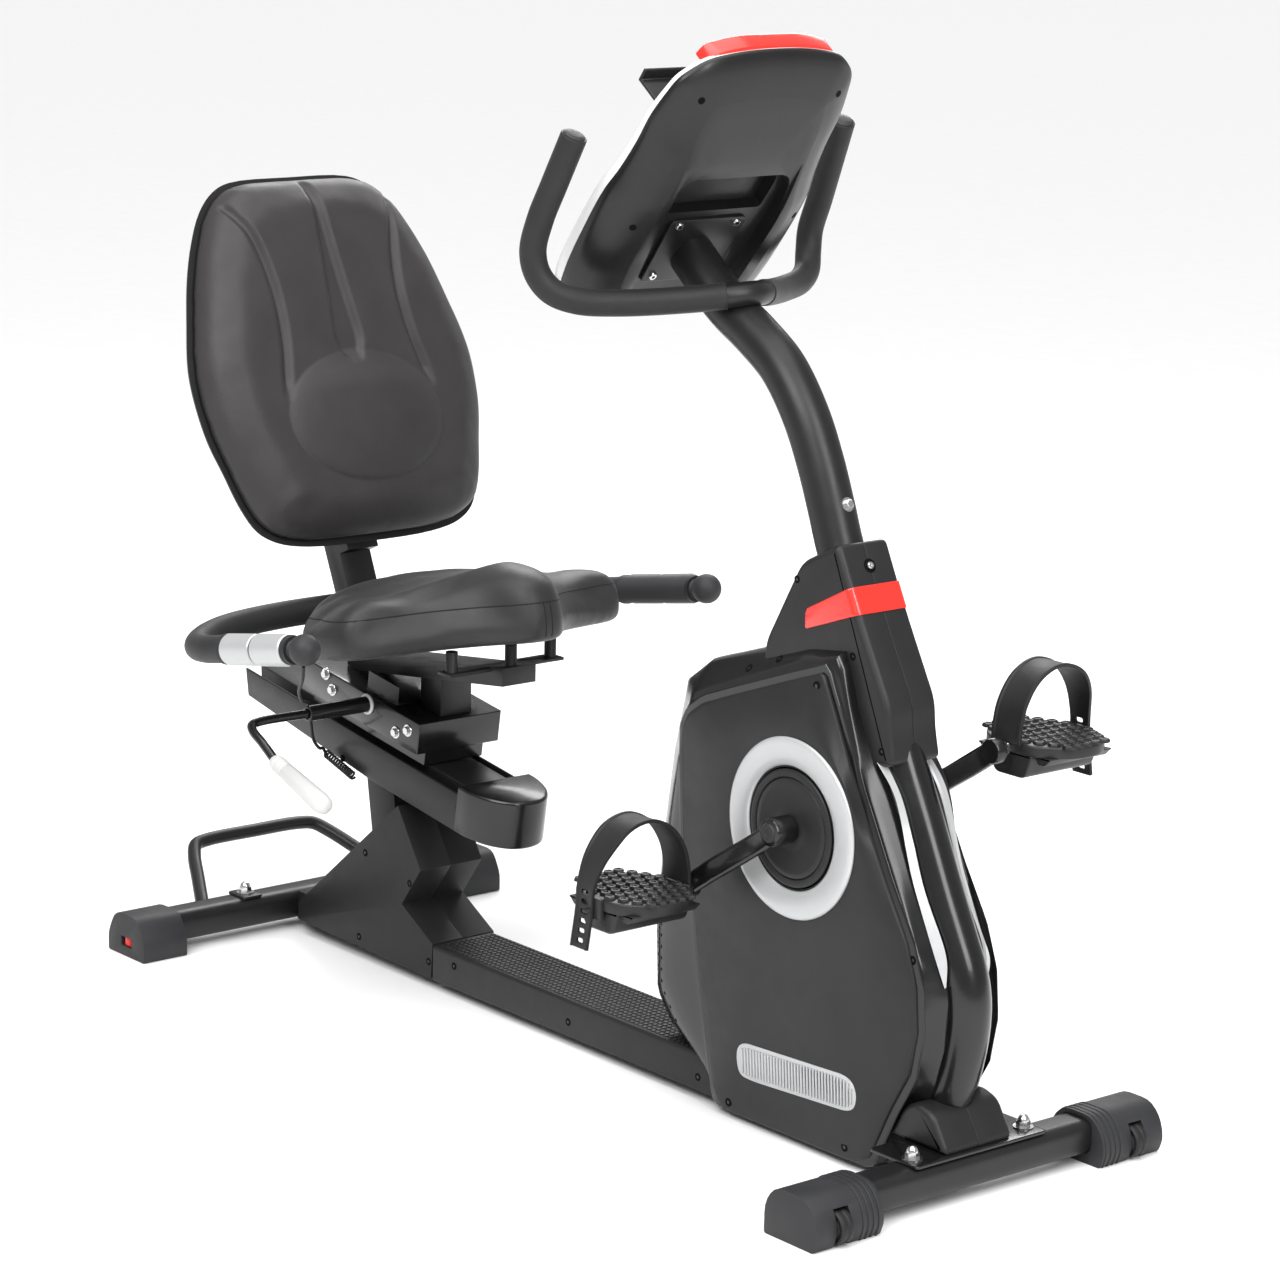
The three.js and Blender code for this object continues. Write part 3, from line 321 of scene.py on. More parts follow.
def skin(rings, per_span):
    """More rings between the given ones, on smooth curves through their points."""
    ends = [rings[0]] + rings + [rings[-1]]
    fine = []
    for a, b, c, d in zip(ends, ends[1:], ends[2:], ends[3:]):
        for k in range(per_span):
            fine.append([cubic(*four, k / per_span) for four in zip(a, b, c, d)])
    return fine + [rings[-1]]


def full_turn(count):
    return [2 * math.pi * k / count for k in range(count)]


def by_angle(outline, centre, count):
    """Where rays from the centre leave the outline."""
    points = [Vector(p) for p in outline]
    spots = []
    for angle in full_turn(count):
        ray = Vector((math.cos(angle), math.sin(angle)))
        reach = 0
        for a, b in zip(points, points[1:] + points[:1]):
            edge, offset = b - a, a - centre
            det = ray.x * edge.y - ray.y * edge.x
            if abs(det) < 1e-9:
                continue
            along = (offset.x * edge.y - offset.y * edge.x) / det
            part = (offset.x * ray.y - offset.y * ray.x) / det
            if -1e-6 <= part <= 1 + 1e-6 and along > reach:
                reach = along
        spots.append(centre + ray * reach)
    return spots


# ---- meshes: lists of points in layout millimetres, and faces ----
# The turns of a rounded tube end, from its flat face to its side, as (cosine, sine).
END_STEPS = [(math.cos(a), math.sin(a)) for a in (1.5, 1.15, 0.8, 0.4)]


def hoop(centre, side, other, radius, sides):
    """Points round a circle in the plane of two unit vectors."""
    return [centre + (side * math.cos(a) + other * math.sin(a)) * radius for a in full_turn(sides)]


class Mesh:
    def __init__(self):
        self.points, self.faces = [], []

    def add(self, points, faces):
        start = len(self.points)
        self.points += [Vector(p) for p in points]
        self.faces += [[i + start for i in face] for face in faces]
        return self

    def loft(self, rings, close=(True, True)):
        size = len(rings[0])
        points = [p for ring in rings for p in ring]
        faces = []
        for r in range(len(rings) - 1):
            for k in range(size):
                n = (k + 1) % size
                faces.append([r * size + k, r * size + n, (r + 1) * size + n, (r + 1) * size + k])
        if close[0]:
            faces.append(list(range(size))[::-1])
        if close[1]:
            faces.append([(len(rings) - 1) * size + k for k in range(size)])
        return self.add(points, faces)

    def sweep(self, path, radius, sides=TUBE_SIDES, round_end=(0, 0)):
        """A tube along a path; round_end: how far its first and last edges are rounded."""
        path = [Vector(p) for p in path]
        tangents = [(b - a).normalized() for a, b in zip(path[:1] + path[:-1], path[1:] + path[-1:])]
        side = tangents[0].orthogonal().normalized()
        rings = []
        last = len(path) - 1
        for i, (here, along) in enumerate(zip(path, tangents)):
            side = (side - along * side.dot(along)).normalized()
            other = along.cross(side)
            edge = {0: round_end[0], last: round_end[1]}.get(i, 0)
            if not edge:
                rings.append(hoop(here, side, other, radius, sides))
                continue
            way = -1 if i == last else 1
            for c, s in END_STEPS[::way]:
                rings.append(hoop(here + along * (way * edge) * (1 - s), side, other,
                                  radius - edge * (1 - c), sides))
        return self.loft(rings)

    def lathe(self, profile, centre, axis, sides=48):
        """profile: (radius, distance along the axis) from the centre."""
        axis = Vector(axis).normalized()
        side = axis.orthogonal().normalized()
        other = axis.cross(side)
        rings = [hoop(Vector(centre) + axis * along, side, other, max(radius, 0.01), sides)
                 for radius, along in profile]
        closed = (Vector(profile[0]) - Vector(profile[-1])).length < 1e-6
        return self.loft(rings, (not closed, not closed))

    def slab(self, outline, low, high, matrix, edges=(0.0, 0.0), steps=4):
        """An outline of (a, b) between two levels; matrix turns (a, b, level) into the layout.
        edges: how far the corners at the low and at the high level are rounded."""
        levels = []
        for level, way, edge in ((low, 1, edges[0]), (high, -1, edges[1])):
            if edge:
                turn = [math.pi / 2 * k / steps for k in range(steps + 1)][::way]
                levels += [(edge * (1 - math.sin(a)), level + way * edge * (1 - math.cos(a))) for a in turn]
            else:
                levels.append((0, level))
        rings = []
        for shrink, level in levels:
            ring = inset(outline, shrink) if shrink else outline
            rings.append([matrix @ Vector((p.x, p.y, level)) for p in ring])
        return self.loft(rings)

    def turned(self, matrix):
        self.points = [matrix @ p for p in self.points]
        return self

    def mirrored(self):
        self.points = [Vector((p.x, -p.y, p.z)) for p in self.points]
        self.faces = [face[::-1] for face in self.faces]
        return self

    def copy(self):
        twin = Mesh()
        return twin.add(self.points, self.faces)


# From (a, b, level) of a slab: XZ takes a as x, b as z and the level as y, YZ takes a as y, b as z and
# the level as x, and REARWARD is YZ with its levels counted towards the rear.
XZ = Matrix(((1, 0, 0, 0), (0, 0, 1, 0), (0, 1, 0, 0), (0, 0, 0, 1)))
YZ = Matrix(((0, 0, 1, 0), (1, 0, 0, 0), (0, 1, 0, 0), (0, 0, 0, 1)))
REARWARD = Matrix(((0, 0, -1, 0), (1, 0, 0, 0), (0, 1, 0, 0), (0, 0, 0, 1)))


def linked(name, data):
    """A new object with this data, in the scene."""
    obj = bpy.data.objects.new(name, data)
    bpy.context.scene.collection.objects.link(obj)
    return obj


def mesh_data(name, mesh):
    data = bpy.data.meshes.new(name)
    data.from_pydata([place(*p) for p in mesh.points], [], mesh.faces)
    return data


def solid(name, mesh, weld=False):
    """An object with its faces turned outwards, and with its doubled points welded if asked."""
    data = mesh_data(name, mesh)
    shape = bmesh.new()
    shape.from_mesh(data)
    if weld:
        bmesh.ops.remove_doubles(shape, verts=shape.verts, dist=1e-6)
    bmesh.ops.recalc_face_normals(shape, faces=shape.faces)
    shape.to_mesh(data)
    shape.free()
    return linked(name, data)


def piece(name, mesh, material, body, replaces=(), **edges):
    return settle(solid(name, mesh, True), material, body, replaces, **edges)


def settle(obj, material, body, replaces=(), bevel=0.0, angle=35.0, segments=2):
    """Bevels and smooths an object, gives it its material and its body, and hides the nodes it stands for.
    """
    if bevel:
        modifier = obj.modifiers.new("edge", "BEVEL")
        modifier.width = bevel * MM
        modifier.segments = segments
        modifier.limit_method = "ANGLE"
        modifier.angle_limit = math.radians(angle)
        modifier.harden_normals = False
        apply_modifiers(obj)
    obj.data.polygons.foreach_set("use_smooth", [True] * len(obj.data.polygons))
    obj.data.set_sharp_from_angle(angle=math.radians(max(angle, 40)))
    obj.data.materials.clear()
    obj.data.materials.append(material)
    if replaces:
        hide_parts(*replaces)
    if body:
        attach(obj, body)
    return obj


def apply_modifiers(obj):
    bpy.context.view_layer.update()
    graph = bpy.context.evaluated_depsgraph_get()
    data = bpy.data.meshes.new_from_object(obj.evaluated_get(graph))
    obj.modifiers.clear()
    obj.data = data


def refined(node, material, bevel=1.2, angle=38.0, segments=2):
    """The CAD node's own shape with its edges rounded, standing for the node."""
    data = NODES[node].data.copy()
    shape = bmesh.new()
    shape.from_mesh(data)
    bmesh.ops.remove_doubles(shape, verts=shape.verts, dist=2e-5)
    bmesh.ops.dissolve_limit(shape, angle_limit=math.radians(1.5), verts=shape.verts, edges=shape.edges)
    shape.to_mesh(data)
    shape.free()
    body = NODES[node]["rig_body"]
    return settle(linked(node + "_shape", data), material, body, [node], bevel, angle, segments)


def both_sides(name, make, material, body, node="", **edges):
    """A left piece from make() and its mirror image on the right, for a pair of nodes where one is
    named; {} in the body's name stands for the side."""
    left = make()
    for side, mesh in (("left", left), ("right", left.copy().mirrored())):
        replaces = [f"{node}_{side}"] if node else []
        piece(f"{name}_{side}", mesh, material, body.format(side), replaces, **edges)


# ---- fasteners ----
NUT_RADIUS = 8.5
ACROSS, UPWARD = (0, 1, 0), (0, 0, 1)


def screw(mesh, hole_shade, where, axis, radius, depth):
    """A pan head, with a dark disc of painted shade on it for its recess."""
    mesh.lathe([(0, -0.6), (radius, -0.6), (radius, depth * 0.5), (radius * 0.8, depth), (0, depth)],
               where, axis, 20)
    hole_shade.lathe(disc(radius * 0.42, depth - 0.3, depth + 0.12), where, axis, 6)


def pocket_shade(mesh, where, axis, radius):
    """A dark disc of painted shade where a screw's pocket is."""
    mesh.lathe([(0, -1), (radius, -1), (radius, 0.3), (0, 0.25)], where, axis, 24)


def acorn_nut(mesh, where):
    """A washer, a hexagon and a dome on it, standing on a spot."""
    mesh.lathe(disc(NUT_RADIUS * 1.45, 0, 1.6), where, UPWARD, 32)
    mesh.lathe(disc(NUT_RADIUS, 1.6, 8), where, UPWARD, 6)
    across, rise = NUT_RADIUS * 0.86, NUT_RADIUS * 0.95
    dome = [(across * math.cos(a), 8 + rise * math.sin(a)) for a in (0, 0.35, 0.7, 1.05, 1.35, 1.57)]
    mesh.lathe([(0, 7), (across, 7)] + dome, where, UPWARD, 24)


# ---- base: stabilizers, wheels, levellers, rails ----
REAR_X = -1323
WHEEL_SPOT = (33, 233, 21.5)
LEVELLER_Y = 279
SERRATIONS = 30
TREAD_REAR, TREAD_PITCH, TREAD_ROWS, TREAD_COLUMNS = -964, 8.4, 69, 11
STUD_HALF = 3.1


def stabilizer(x, half):
    return Mesh().slab(rectangle(x - 25, x + 25, 12, 54, 16), -half, half, XZ)


def cap_ribs():
    """Four low ribs round a front cap's inner end."""
    ribs = Mesh()
    corners = [(-42, 0, 4), (40, 0, 4), (47, 18, 8), (42, 42, 14), (24, 60, 14), (-24, 60, 14),
               (-42, 38, 14)]
    section = [Vector((p.x, max(p.y, 0.2))) for p in inset(rounded(corners), -1.0)]
    for y in (178, 186, 194, 202):
        ribs.slab(section, y, y + 4, XZ, (0.9, 0.9), 2)
    return ribs


def wheel():
    tyre = [(0, -6), (8, -6), (9, -9.5), (12, -9.5), (13, -8), (16.5, -8), (17.5, -9.5), (19, -9),
            (20, -7.5)]
    groove = [(20, -2.5), (19.2, -1.8), (19.2, 1.8), (20, 2.5)]
    profile = tyre + groove + [(r, -a) for r, a in reversed(tyre)]
    return Mesh().lathe(profile, WHEEL_SPOT, ACROSS, 64)


def wheel_bolt():
    bolt = Mesh().lathe([(0, 5), (6.5, 5), (6.5, 9), (5.6, 10.5), (0, 10.5)], WHEEL_SPOT, ACROSS, 6)
    return bolt.lathe([(0, -10.5), (5, -10.5), (6.5, -9), (6.5, -5), (0, -5)], WHEEL_SPOT, ACROSS, 24)


def dial():
    outline = []
    for k, angle in enumerate(full_turn(SERRATIONS * 4)):
        radius = 19.8 if k % 4 in (0, 1) else 18.4
        outline.append(Vector((REAR_X + radius * math.cos(angle), LEVELLER_Y + radius * math.sin(angle))))
    return Mesh().slab(outline, 14, 26, LEVEL, (1.0, 1.0), 2)


def leveller_foot():
    profile = [(0, 0), (15, 0), (17, 1.2), (17, 5), (14.5, 7.5), (7, 8.5), (7, 44), (0, 44)]
    return Mesh().lathe(profile, (REAR_X, LEVELLER_Y, 0), UPWARD, 40)


def transport_handle():
    x = REAR_X
    half = [(x - 15, 166, 33), (x - 77, 135, 63), (x - 117, 115, 83), (x - 136, 100, 93), (x - 140, 78, 96)]
    return Mesh().sweep(spline(with_other_half(half, [(x - 140, 0, 97)]), 6), 9.5)


def tread_studs():
    """The anti-slip studs on the foot tread over the rail."""
    studs = Mesh()
    for row in range(TREAD_ROWS):
        for column in range(TREAD_COLUMNS):
            x = TREAD_REAR + 10 + row * TREAD_PITCH
            y = (column - (TREAD_COLUMNS - 1) / 2) * TREAD_PITCH
            stud = rectangle(x - STUD_HALF, x + STUD_HALF, y - STUD_HALF, y + STUD_HALF)
            studs.slab(stud, 60.5, 62.1, LEVEL, (0, 0.9), 1)
    return studs


piece("front_stabilizer_tube", stabilizer(0, 218), POWDER, "frame", ["front_stabilizer"])
piece("rear_stabilizer_tube", stabilizer(REAR_X, 256), POWDER, "frame", ["rear_stabilizer"])
both_sides("front_cap_ribs", cap_ribs, CAP, "frame")
for side in ("left", "right"):
    refined("front_cap_" + side, CAP, 3.0, 25, 3)
    refined("rear_cap_" + side, CAP, 1.2, 25, 3)
    refined("rear_base_shell_" + side, PANEL, 3.0, 20, 3)
both_sides("wheel", wheel, RUBBER, "wheel_{}", "transport_wheel", bevel=0.3)
both_sides("wheel_bolt", wheel_bolt, STEEL, "wheel_{}", bevel=0.5)
both_sides("leveller_dial", dial, RED, "leveller_{}", "rear_leveller")
both_sides("leveller_foot", leveller_foot, RUBBER, "leveller_{}", bevel=0.4)
piece("transport_handle_bar", transport_handle(), POWDER, "frame", ["transport_handle"])
refined("main_rail", POWDER, 1.5)
refined("tread_cover", PANEL, 2.5, 25, 3)
piece("tread_studs", tread_studs(), PANEL, "frame")


# ---- seat rail, carriage, lever and seat frame ----
LEVER_X, LEVER_Z = -1091, 366
BASE_SIDE, RAIL_SIDE, CARRIAGE_SIDE = 51, 55, 67


def nose_cap():
    bow = [(0.3, 58), (24, 57), (58, 45), (80, 24), (86, 0)]
    front = spline(bow + [(a, -b) for a, b in bow[-2::-1]], 5)
    return Mesh().slab(front, -52, 14, LEVEL, (5, 5)).turned(RAIL)


def lever_rod():
    x, z = LEVER_X, LEVER_Z
    path = [(x, -98, z), (x, -150, z), (x, -240, z), (x + 4, -254, z - 2), (x + 16, -260, z - 7),
            (x + 40, -262, z - 17), (-1020, -262, 330.5)]
    return Mesh().sweep(spline(path, 4), 6, 24)


def lever_grip():
    start, end = Vector((-1024.5, -262, 331.8)), Vector((-904, -262, 293.5))
    length = (end - start).length
    profile = [(0, 0), (7, 0), (8, 1), (10, 4), (10.6, 8)]
    for k in range(4):
        along = 12 + k * 5
        profile += [(10.9, along), (10.2, along + 1.2), (10.2, along + 2), (11, along + 3.2)]
    profile += [(13, length - 34), (13.5, length - 18), (12.4, length - 9), (10, length - 4),
                (6, length - 0.8), (0, length)]
    return Mesh().lathe(profile, start, end - start, 40)


def pivot_ring():
    profile = [(10.6, 0), (14, 0), (14, 2.4), (12.6, 3.6), (10.6, 3.6), (10.6, 0)]
    return Mesh().lathe(profile, (LEVER_X, -67.5, LEVER_Z), (0, -1, 0), 40)


refined("seat_rail", POWDER, 1.5)
piece("seat_rail_nose", nose_cap(), GLOSS, "frame", ["seat_rail_nose_cap"])
refined("seat_carriage", GLOSS_PAINT, 2.2, 35, 3)
piece("lever_rod_bar", lever_rod(), GLOSS_PAINT, "seat_lever", ["lever_rod"])
piece("lever_handle_grip", lever_grip(), IVORY, "seat_lever", ["lever_grip"])
piece("lever_ring", pivot_ring(), IVORY, "seat", bevel=0.4)
refined("seat_frame", POWDER, 1.4)


# ---- cushions ----
BACK_HALF = [(0, -256), (102, -253), (149, -243), (176, -225), (194, -191), (208, -142), (220, -100),
             (226, -50), (225, 0), (210, 66), (194, 124), (175, 172), (152, 213), (125, 239), (96, 251),
             (0, 254)]
PAD_HALF = [(0, 112), (24, 107), (44, 88), (66, 52), (104, 20), (150, 4), (196, -6), (224, -20), (233, -52),
            (226, -112), (200, -168), (154, -212), (92, -238), (0, -246)]
VOXEL = 5.0
SWELL_FRAMES = 20
RELAX_STEPS = 40


def bump_at(value, centre, width):
    """A smooth hump of height 1, a width either side of its centre."""
    reach = abs(value - centre) / width
    return 0.0 if reach >= 1 else 0.5 + 0.5 * math.cos(math.pi * reach)


def between(value, table):
    """Straight-line interpolation in a table of (value, result) in rising order."""
    if value <= table[0][0]:
        return table[0][1]
    for (a, low), (b, high) in zip(table, table[1:]):
        if value <= b:
            return low + (high - low) * (value - a) / (b - a)
    return table[-1][1]


def curve(value, table):
    """Smooth interpolation in a table of (value, result) in rising order."""
    ends = [table[0]] + table + [table[-1]]
    for (_, a), (low, b), (high, c), (_, d) in zip(ends, ends[1:], ends[2:], ends[3:]):
        if value <= high:
            t = min(1.0, max(0.0, (value - low) / (high - low)))
            return cubic(a, b, c, d, t)
    return table[-1][1]


def smoothstep(value, low, high):
    t = min(1.0, max(0.0, (value - low) / (high - low)))
    return t * t * (3 - 2 * t)


def swell(obj, pinned, limit):
    """Blows the object up as cloth over a few frames; no point moves further than the limit (mm)."""
    before = [v.co.copy() for v in obj.data.vertices]
    group = obj.vertex_groups.new(name="held")
    group.add([i for i, co in enumerate(before) if pinned(co)], 1.0, "REPLACE")
    modifier = obj.modifiers.new("cloth", "CLOTH")
    modifier.settings.vertex_group_mass = "held"
    modifier.settings.use_pressure = True
    modifier.settings.uniform_pressure_force = 4
    modifier.settings.effector_weights.gravity = 0
    modifier.collision_settings.use_collision = False
    modifier.point_cache.frame_end = SWELL_FRAMES
    scene = bpy.context.scene
    for number in range(1, SWELL_FRAMES + 1):
        scene.frame_set(number)
    apply_modifiers(obj)
    scene.frame_set(1)
    for vertex, start in zip(obj.data.vertices, before):
        move = vertex.co - start
        if move.length > limit * MM:
            vertex.co = start + move * (limit * MM / move.length)
    relax = obj.modifiers.new("relax", "SMOOTH")
    relax.factor = 0.5
    relax.iterations = RELAX_STEPS
    apply_modifiers(obj)


def into_tilted(matrix):
    """From the scene's metres to a tilted frame's millimetres."""
    return matrix.inverted() @ Matrix.Scale(1000, 4) @ Matrix.Translation((-SHIFT, 0, 0))


def cushion(name, mesh, matrix, node, material, pinned, limit, reshape):
    """A padded piece: remeshed, swollen as cloth, subdivided, then given its channels."""
    obj = linked(name, mesh_data(name, mesh.turned(matrix)))
    voxels = obj.modifiers.new("voxels", "REMESH")
    voxels.voxel_size = VOXEL * MM
    apply_modifiers(obj)
    into = into_tilted(matrix)
    swell(obj, lambda co: pinned(into @ co), limit)
    finer = obj.modifiers.new("finer", "SUBSURF")
    finer.levels = finer.render_levels = 1
    apply_modifiers(obj)
    back = into.inverted()
    for vertex in obj.data.vertices:
        vertex.co = back @ reshape(into @ vertex.co)
    settle(obj, material, "seat", [node])
    obj.data.set_sharp_from_angle(angle=math.pi)
    return obj


def on_surface(obj, matrix, rays, proud=0.0):
    """Where rays, as (start, direction) in a tilted frame, meet an object: (spot, normal) pairs."""
    into = into_tilted(matrix)
    back = into.inverted()
    spots = []
    for start, direction in rays:
        begin = back @ Vector(start)
        way = (back @ (Vector(start) + Vector(direction)) - begin).normalized()
        hit, where, normal, _ = obj.ray_cast(begin, way)
        if hit:
            spots.append((into @ where - Vector(direction).normalized() * proud, into.to_3x3() @ normal))
    return spots


def layered(half, levels, per_span, turn):
    """A closed form through a cushion's outline at each (level, how far it is drawn in)."""
    outline = symmetric(half)
    return Mesh().loft([[turn(p.x, p.y, level)
                         for p in spline(inset(outline, shrink), closed=True, per_span=per_span)]
                        for level, shrink in levels])


def on_back(a, b, level):
    return Vector((level, a, b))


def on_seat(a, b, level):
    return Vector((b, a, level))


def back_shell():
    levels = [(-13, 22), (-12, 14), (-9, 6), (-5, 2), (0, 0)]
    return layered(BACK_HALF, levels, 4, on_back).turned(BACK)


def back_form():
    levels = [(0.3, 6), (8, 4), (24, 5), (36, 12), (44, 22), (50, 44)]
    return layered(BACK_HALF, levels, 3, on_back)


SIDE_GROOVE = [(-70, 118), (-34, 111), (15, 102), (69, 99), (120, 104), (170, 116), (215, 134), (240, 146)]


def back_channels(p):
    """Two side creases, a centre channel that widens downwards, and the lumbar bulge."""
    share = min(1.0, max(0.0, (p.x - 18) / 16))
    reach = between(p.z, [(-66, 0), (-36, 1), (205, 1), (236, 0)])
    crease = 8.0 * reach * bump_at(abs(p.y), curve(p.z, SIDE_GROOVE), 11)
    half = curve(p.z, [(-30, 6), (-12, 13), (14, 19), (60, 15), (120, 10), (190, 6), (245, 4)])
    wall = 1 - smoothstep(abs(p.y), half - 4, half + 6)
    channel = 8.0 * between(p.z, [(-24, 0), (0, 1), (236, 1), (256, 0)]) * wall
    oval = math.hypot(p.y / 122, (p.z + 95) / 90)
    fade = 1 - 0.75 * smoothstep(p.z, -60, 10)
    bulge = 17.0 * max(0.0, 1 - oval ** 2) ** 0.7 * fade
    return Vector((p.x + share * (bulge - crease - channel), p.y, p.z))


def seat_form():
    levels = [(0.4, 12), (5, 6), (24, 3), (46, 4), (58, 7), (67, 14), (74, 26), (78, 44)]
    return layered(PAD_HALF, levels, 3, on_seat)


def seat_channels(p):
    """The saddle hump behind the nose, the thighs' hollows beside it and the raised rear rim."""
    share = smoothstep(p.z, 30, 66)
    hump = 19 * math.exp(-((p.x - 40) / 72) ** 2 - (p.y / 120) ** 2)
    thighs = 15 * math.exp(-((p.x + 90) / 80) ** 2) * smoothstep(abs(p.y), 10, 150)
    rear = 9 * smoothstep(p.x, -140, -225)
    shoulders = 7 * math.exp(-((p.x + 20) / 60) ** 2) * smoothstep(abs(p.y), 120, 190)
    return Vector((p.x, p.y, p.z + share * (hump + rear + shoulders - thighs)))


SEAM_LEVEL = 52
BACK_PAD = cushion("seat_back_cushion", back_form(), BACK, "seat_back_pad", VINYL, lambda p: p.x < 4, 6,
                   back_channels)
SEAT_PAD = cushion("seat_pad_cushion", seat_form(), PAD, "seat_pad", SEAT_VINYL, lambda p: p.z < 5, 9,
                   seat_channels)


def around(half, level, turn):
    """Rays towards the middle at a level of a cushion's own frame."""
    outline = even(spline(symmetric(half), closed=True), 220)
    return [(turn(p.x * 1.25, p.y * 1.25, level), turn(-p.x, -p.y, 0)) for p in outline]


def closed_sweep(spots, radius, sides=10):
    """A closed loop of cord through the spots that on_surface() found."""
    path = [spot for spot, _ in spots]
    rings = []
    side = Vector(UPWARD)
    for i, here in enumerate(path):
        along = (path[(i + 1) % len(path)] - path[i - 1]).normalized()
        side = (side - along * side.dot(along)).normalized()
        rings.append(hoop(here, side, along.cross(side), radius, sides))
    return Mesh().loft(rings + rings[:1], (False, False))


piece("seat_back_rear_shell", back_shell(), PANEL, "seat", ["seat_back_shell"])
rim = on_surface(BACK_PAD, BACK, around(BACK_HALF, 5, on_back), -1.0)
piece("seat_back_piping", closed_sweep(rim, 3.2).turned(BACK), THREAD, "seat")
seam = on_surface(SEAT_PAD, PAD, around(PAD_HALF, SEAM_LEVEL, on_seat), -0.3)
piece("seat_pad_seam", closed_sweep(seam, 1.0, 8).turned(PAD), THREAD, "seat")
nose_seams = Mesh()
for y in (-5, 5):
    rays = [((200, y, z), (-1, 0, 0)) for z in range(8, 55, 3)]
    nose_seams.sweep([spot for spot, _ in on_surface(SEAT_PAD, PAD, rays, -0.3)], 0.9, 8)
piece("seat_pad_nose_seams", nose_seams.turned(PAD), THREAD, "seat")


# ---- seat handle, grips and the pulse lead ----
HANDLE_Y = 325
GRIP_REAR = Vector((-1037, HANDLE_Y, 484))
GRIP_AXIS = (Vector((-864, HANDLE_Y, 515.3)) - GRIP_REAR).normalized()
BALL_AT = 175.8
COIL_TURNS, COIL_STEPS = 13, 14


def seat_handle():
    y = HANDLE_Y
    half = [(-884.6, y, 511.4), (-1037, y, 484), (-1085, y - 1, 475), (-1122, y - 12, 471),
            (-1148, y - 42, 474), (-1164, y - 85, 478), (-1179, 150, 480)]
    return Mesh().sweep(spline(with_other_half(half, [(-1181, 0, 480)]), 6), 18)


def seat_grip():
    turns = [math.radians(-62 + 8 * k) for k in range(20)]
    ball = [(20 * math.cos(a), BALL_AT + 20 * math.sin(a)) for a in turns]
    sleeve = [(0, 0), (18.6, 0), (20, 1.2), (20, 8), (18.9, 9.5), (18.9, 148), (17.4, 150), (16, 153)]
    return Mesh().lathe(sleeve + ball, GRIP_REAR, GRIP_AXIS, 48)


def pulse_plates():
    """Two polished plates curved over the outer half of the grip."""
    plates = Mesh()
    outward = Vector(ACROSS)
    upward = GRIP_AXIS.cross(outward)
    half_angle = math.radians(80)
    angles = [half_angle * k / 16 for k in range(-16, 17)]
    for low, high in ((12, 77), (80.5, 146)):
        rings = []
        for along, inner in ((low, 1.4), (low + 1.4, 0), (high - 1.4, 0), (high, 1.4)):
            centre = GRIP_REAR + GRIP_AXIS * along
            rings.append([centre + (outward * math.cos(a) + upward * math.sin(a)) * radius
                          for radius, turns in ((20.9 - inner, angles), (18, angles[::-1])) for a in turns])
        plates.loft(rings)
    return plates


def pulse_lead():
    """The thin lead from the right grip, and its stretchy coil down to the rail."""
    path = [(-866, -325, 494), (-878, -318, 476), (-930, -288, 446), (-1000, -236, 412),
            (-1060, -190, 392), (-1090, -166, 382), (-1108, -150, 372), (-1122, -138, 350),
            (-1136, -124, 318), (-1160, -98, 296), (-1184, -74, 286), (-1190, -65, 276)]
    lead = Mesh().sweep(spline(path, 5), 2.2, 12, (1, 0))
    axis = spline([(-1190, -65, 277), (-1165, -63, 268), (-1130, -63, 258)], 2)
    coil = []
    for k, centre in enumerate(even(axis, COIL_TURNS * COIL_STEPS, False)):
        angle = 2 * math.pi * k / COIL_STEPS
        coil.append(centre + Vector((0.35 * math.sin(angle), math.cos(angle), math.sin(angle))) * 4.4)
    return lead.sweep(coil, 1.6, 8)


piece("seat_handle_foam", seat_handle(), FOAM, "seat", ["seat_handle"])
both_sides("seat_grip_sleeve", seat_grip, CAP, "seat", "seat_grip")
both_sides("pulse_plates", pulse_plates, SILVER, "seat")
LEAD = piece("pulse_lead_wire", pulse_lead(), RUBBER, None, ["pulse_lead"])
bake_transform(LEAD)


# ---- front frame, mast and handlebar ----
MAIN_TUBE_PATH = [(-50, 0, 56), (-38, 0, 100), (-24, 0, 140), (-14, 0, 186), (-13, 0, 226), (-21, 0, 257),
                  (-36, 0, 287), (-61, 0, 335), (-98, 0, 411), (-129, 0, 472), (-170, 0, 560),
                  (-212, 0, 640), (-229, 0, 672)]
MAST_PATH = [(-230, 0, 673), (-250, 0, 712), (-268, 0, 758), (-288, 0, 805), (-315, 0, 855), (-357, 0, 906),
             (-405, 0, 938), (-455, 0, 965), (-490, 0, 990), (-537, 0, 1028)]
BAR_HALF = [(-428, 28, 984), (-455, 62, 979), (-503, 130, 974), (-526, 174, 977), (-542, 199, 988),
            (-554, 211, 1008), (-557, 216, 1034), (-543, 217, 1072), (-523, 213, 1114), (-494.5, 207, 1173)]
MAST_RADIUS, BAR_RADIUS = 28, 14.8


def main_frame():
    tube = Mesh().sweep(spline(MAIN_TUBE_PATH, 6), MAST_RADIUS, 48)
    tube.slab(rectangle(-57, 22, -104, 104, 6), 54.3, 58, LEVEL, (0.4, 1.2), 3)
    gusset = rounded([(CRANK_X - 10, 410), (CRANK_X - 10, 370), (-105, 395), (-135, 475)])
    tube.slab(gusset, -5, 5, XZ)
    return tube.lathe([(12, -32), (24, -32), (24, 32), (12, 32), (12, -32)], CRANK_SPOT, ACROSS)


def weld_bead():
    """The weld where the main tube stands on its saddle."""
    bead = Mesh()
    for angle in full_turn(72):
        spot = (-50 + 31 * math.cos(angle), 29 * math.sin(angle), 59)
        along = (-math.sin(angle), math.cos(angle), 0)
        bead.lathe([(0, -2.6), (2.6, -0.8), (2.6, 0.8), (0, 2.6)], spot, along, 8)
    return bead


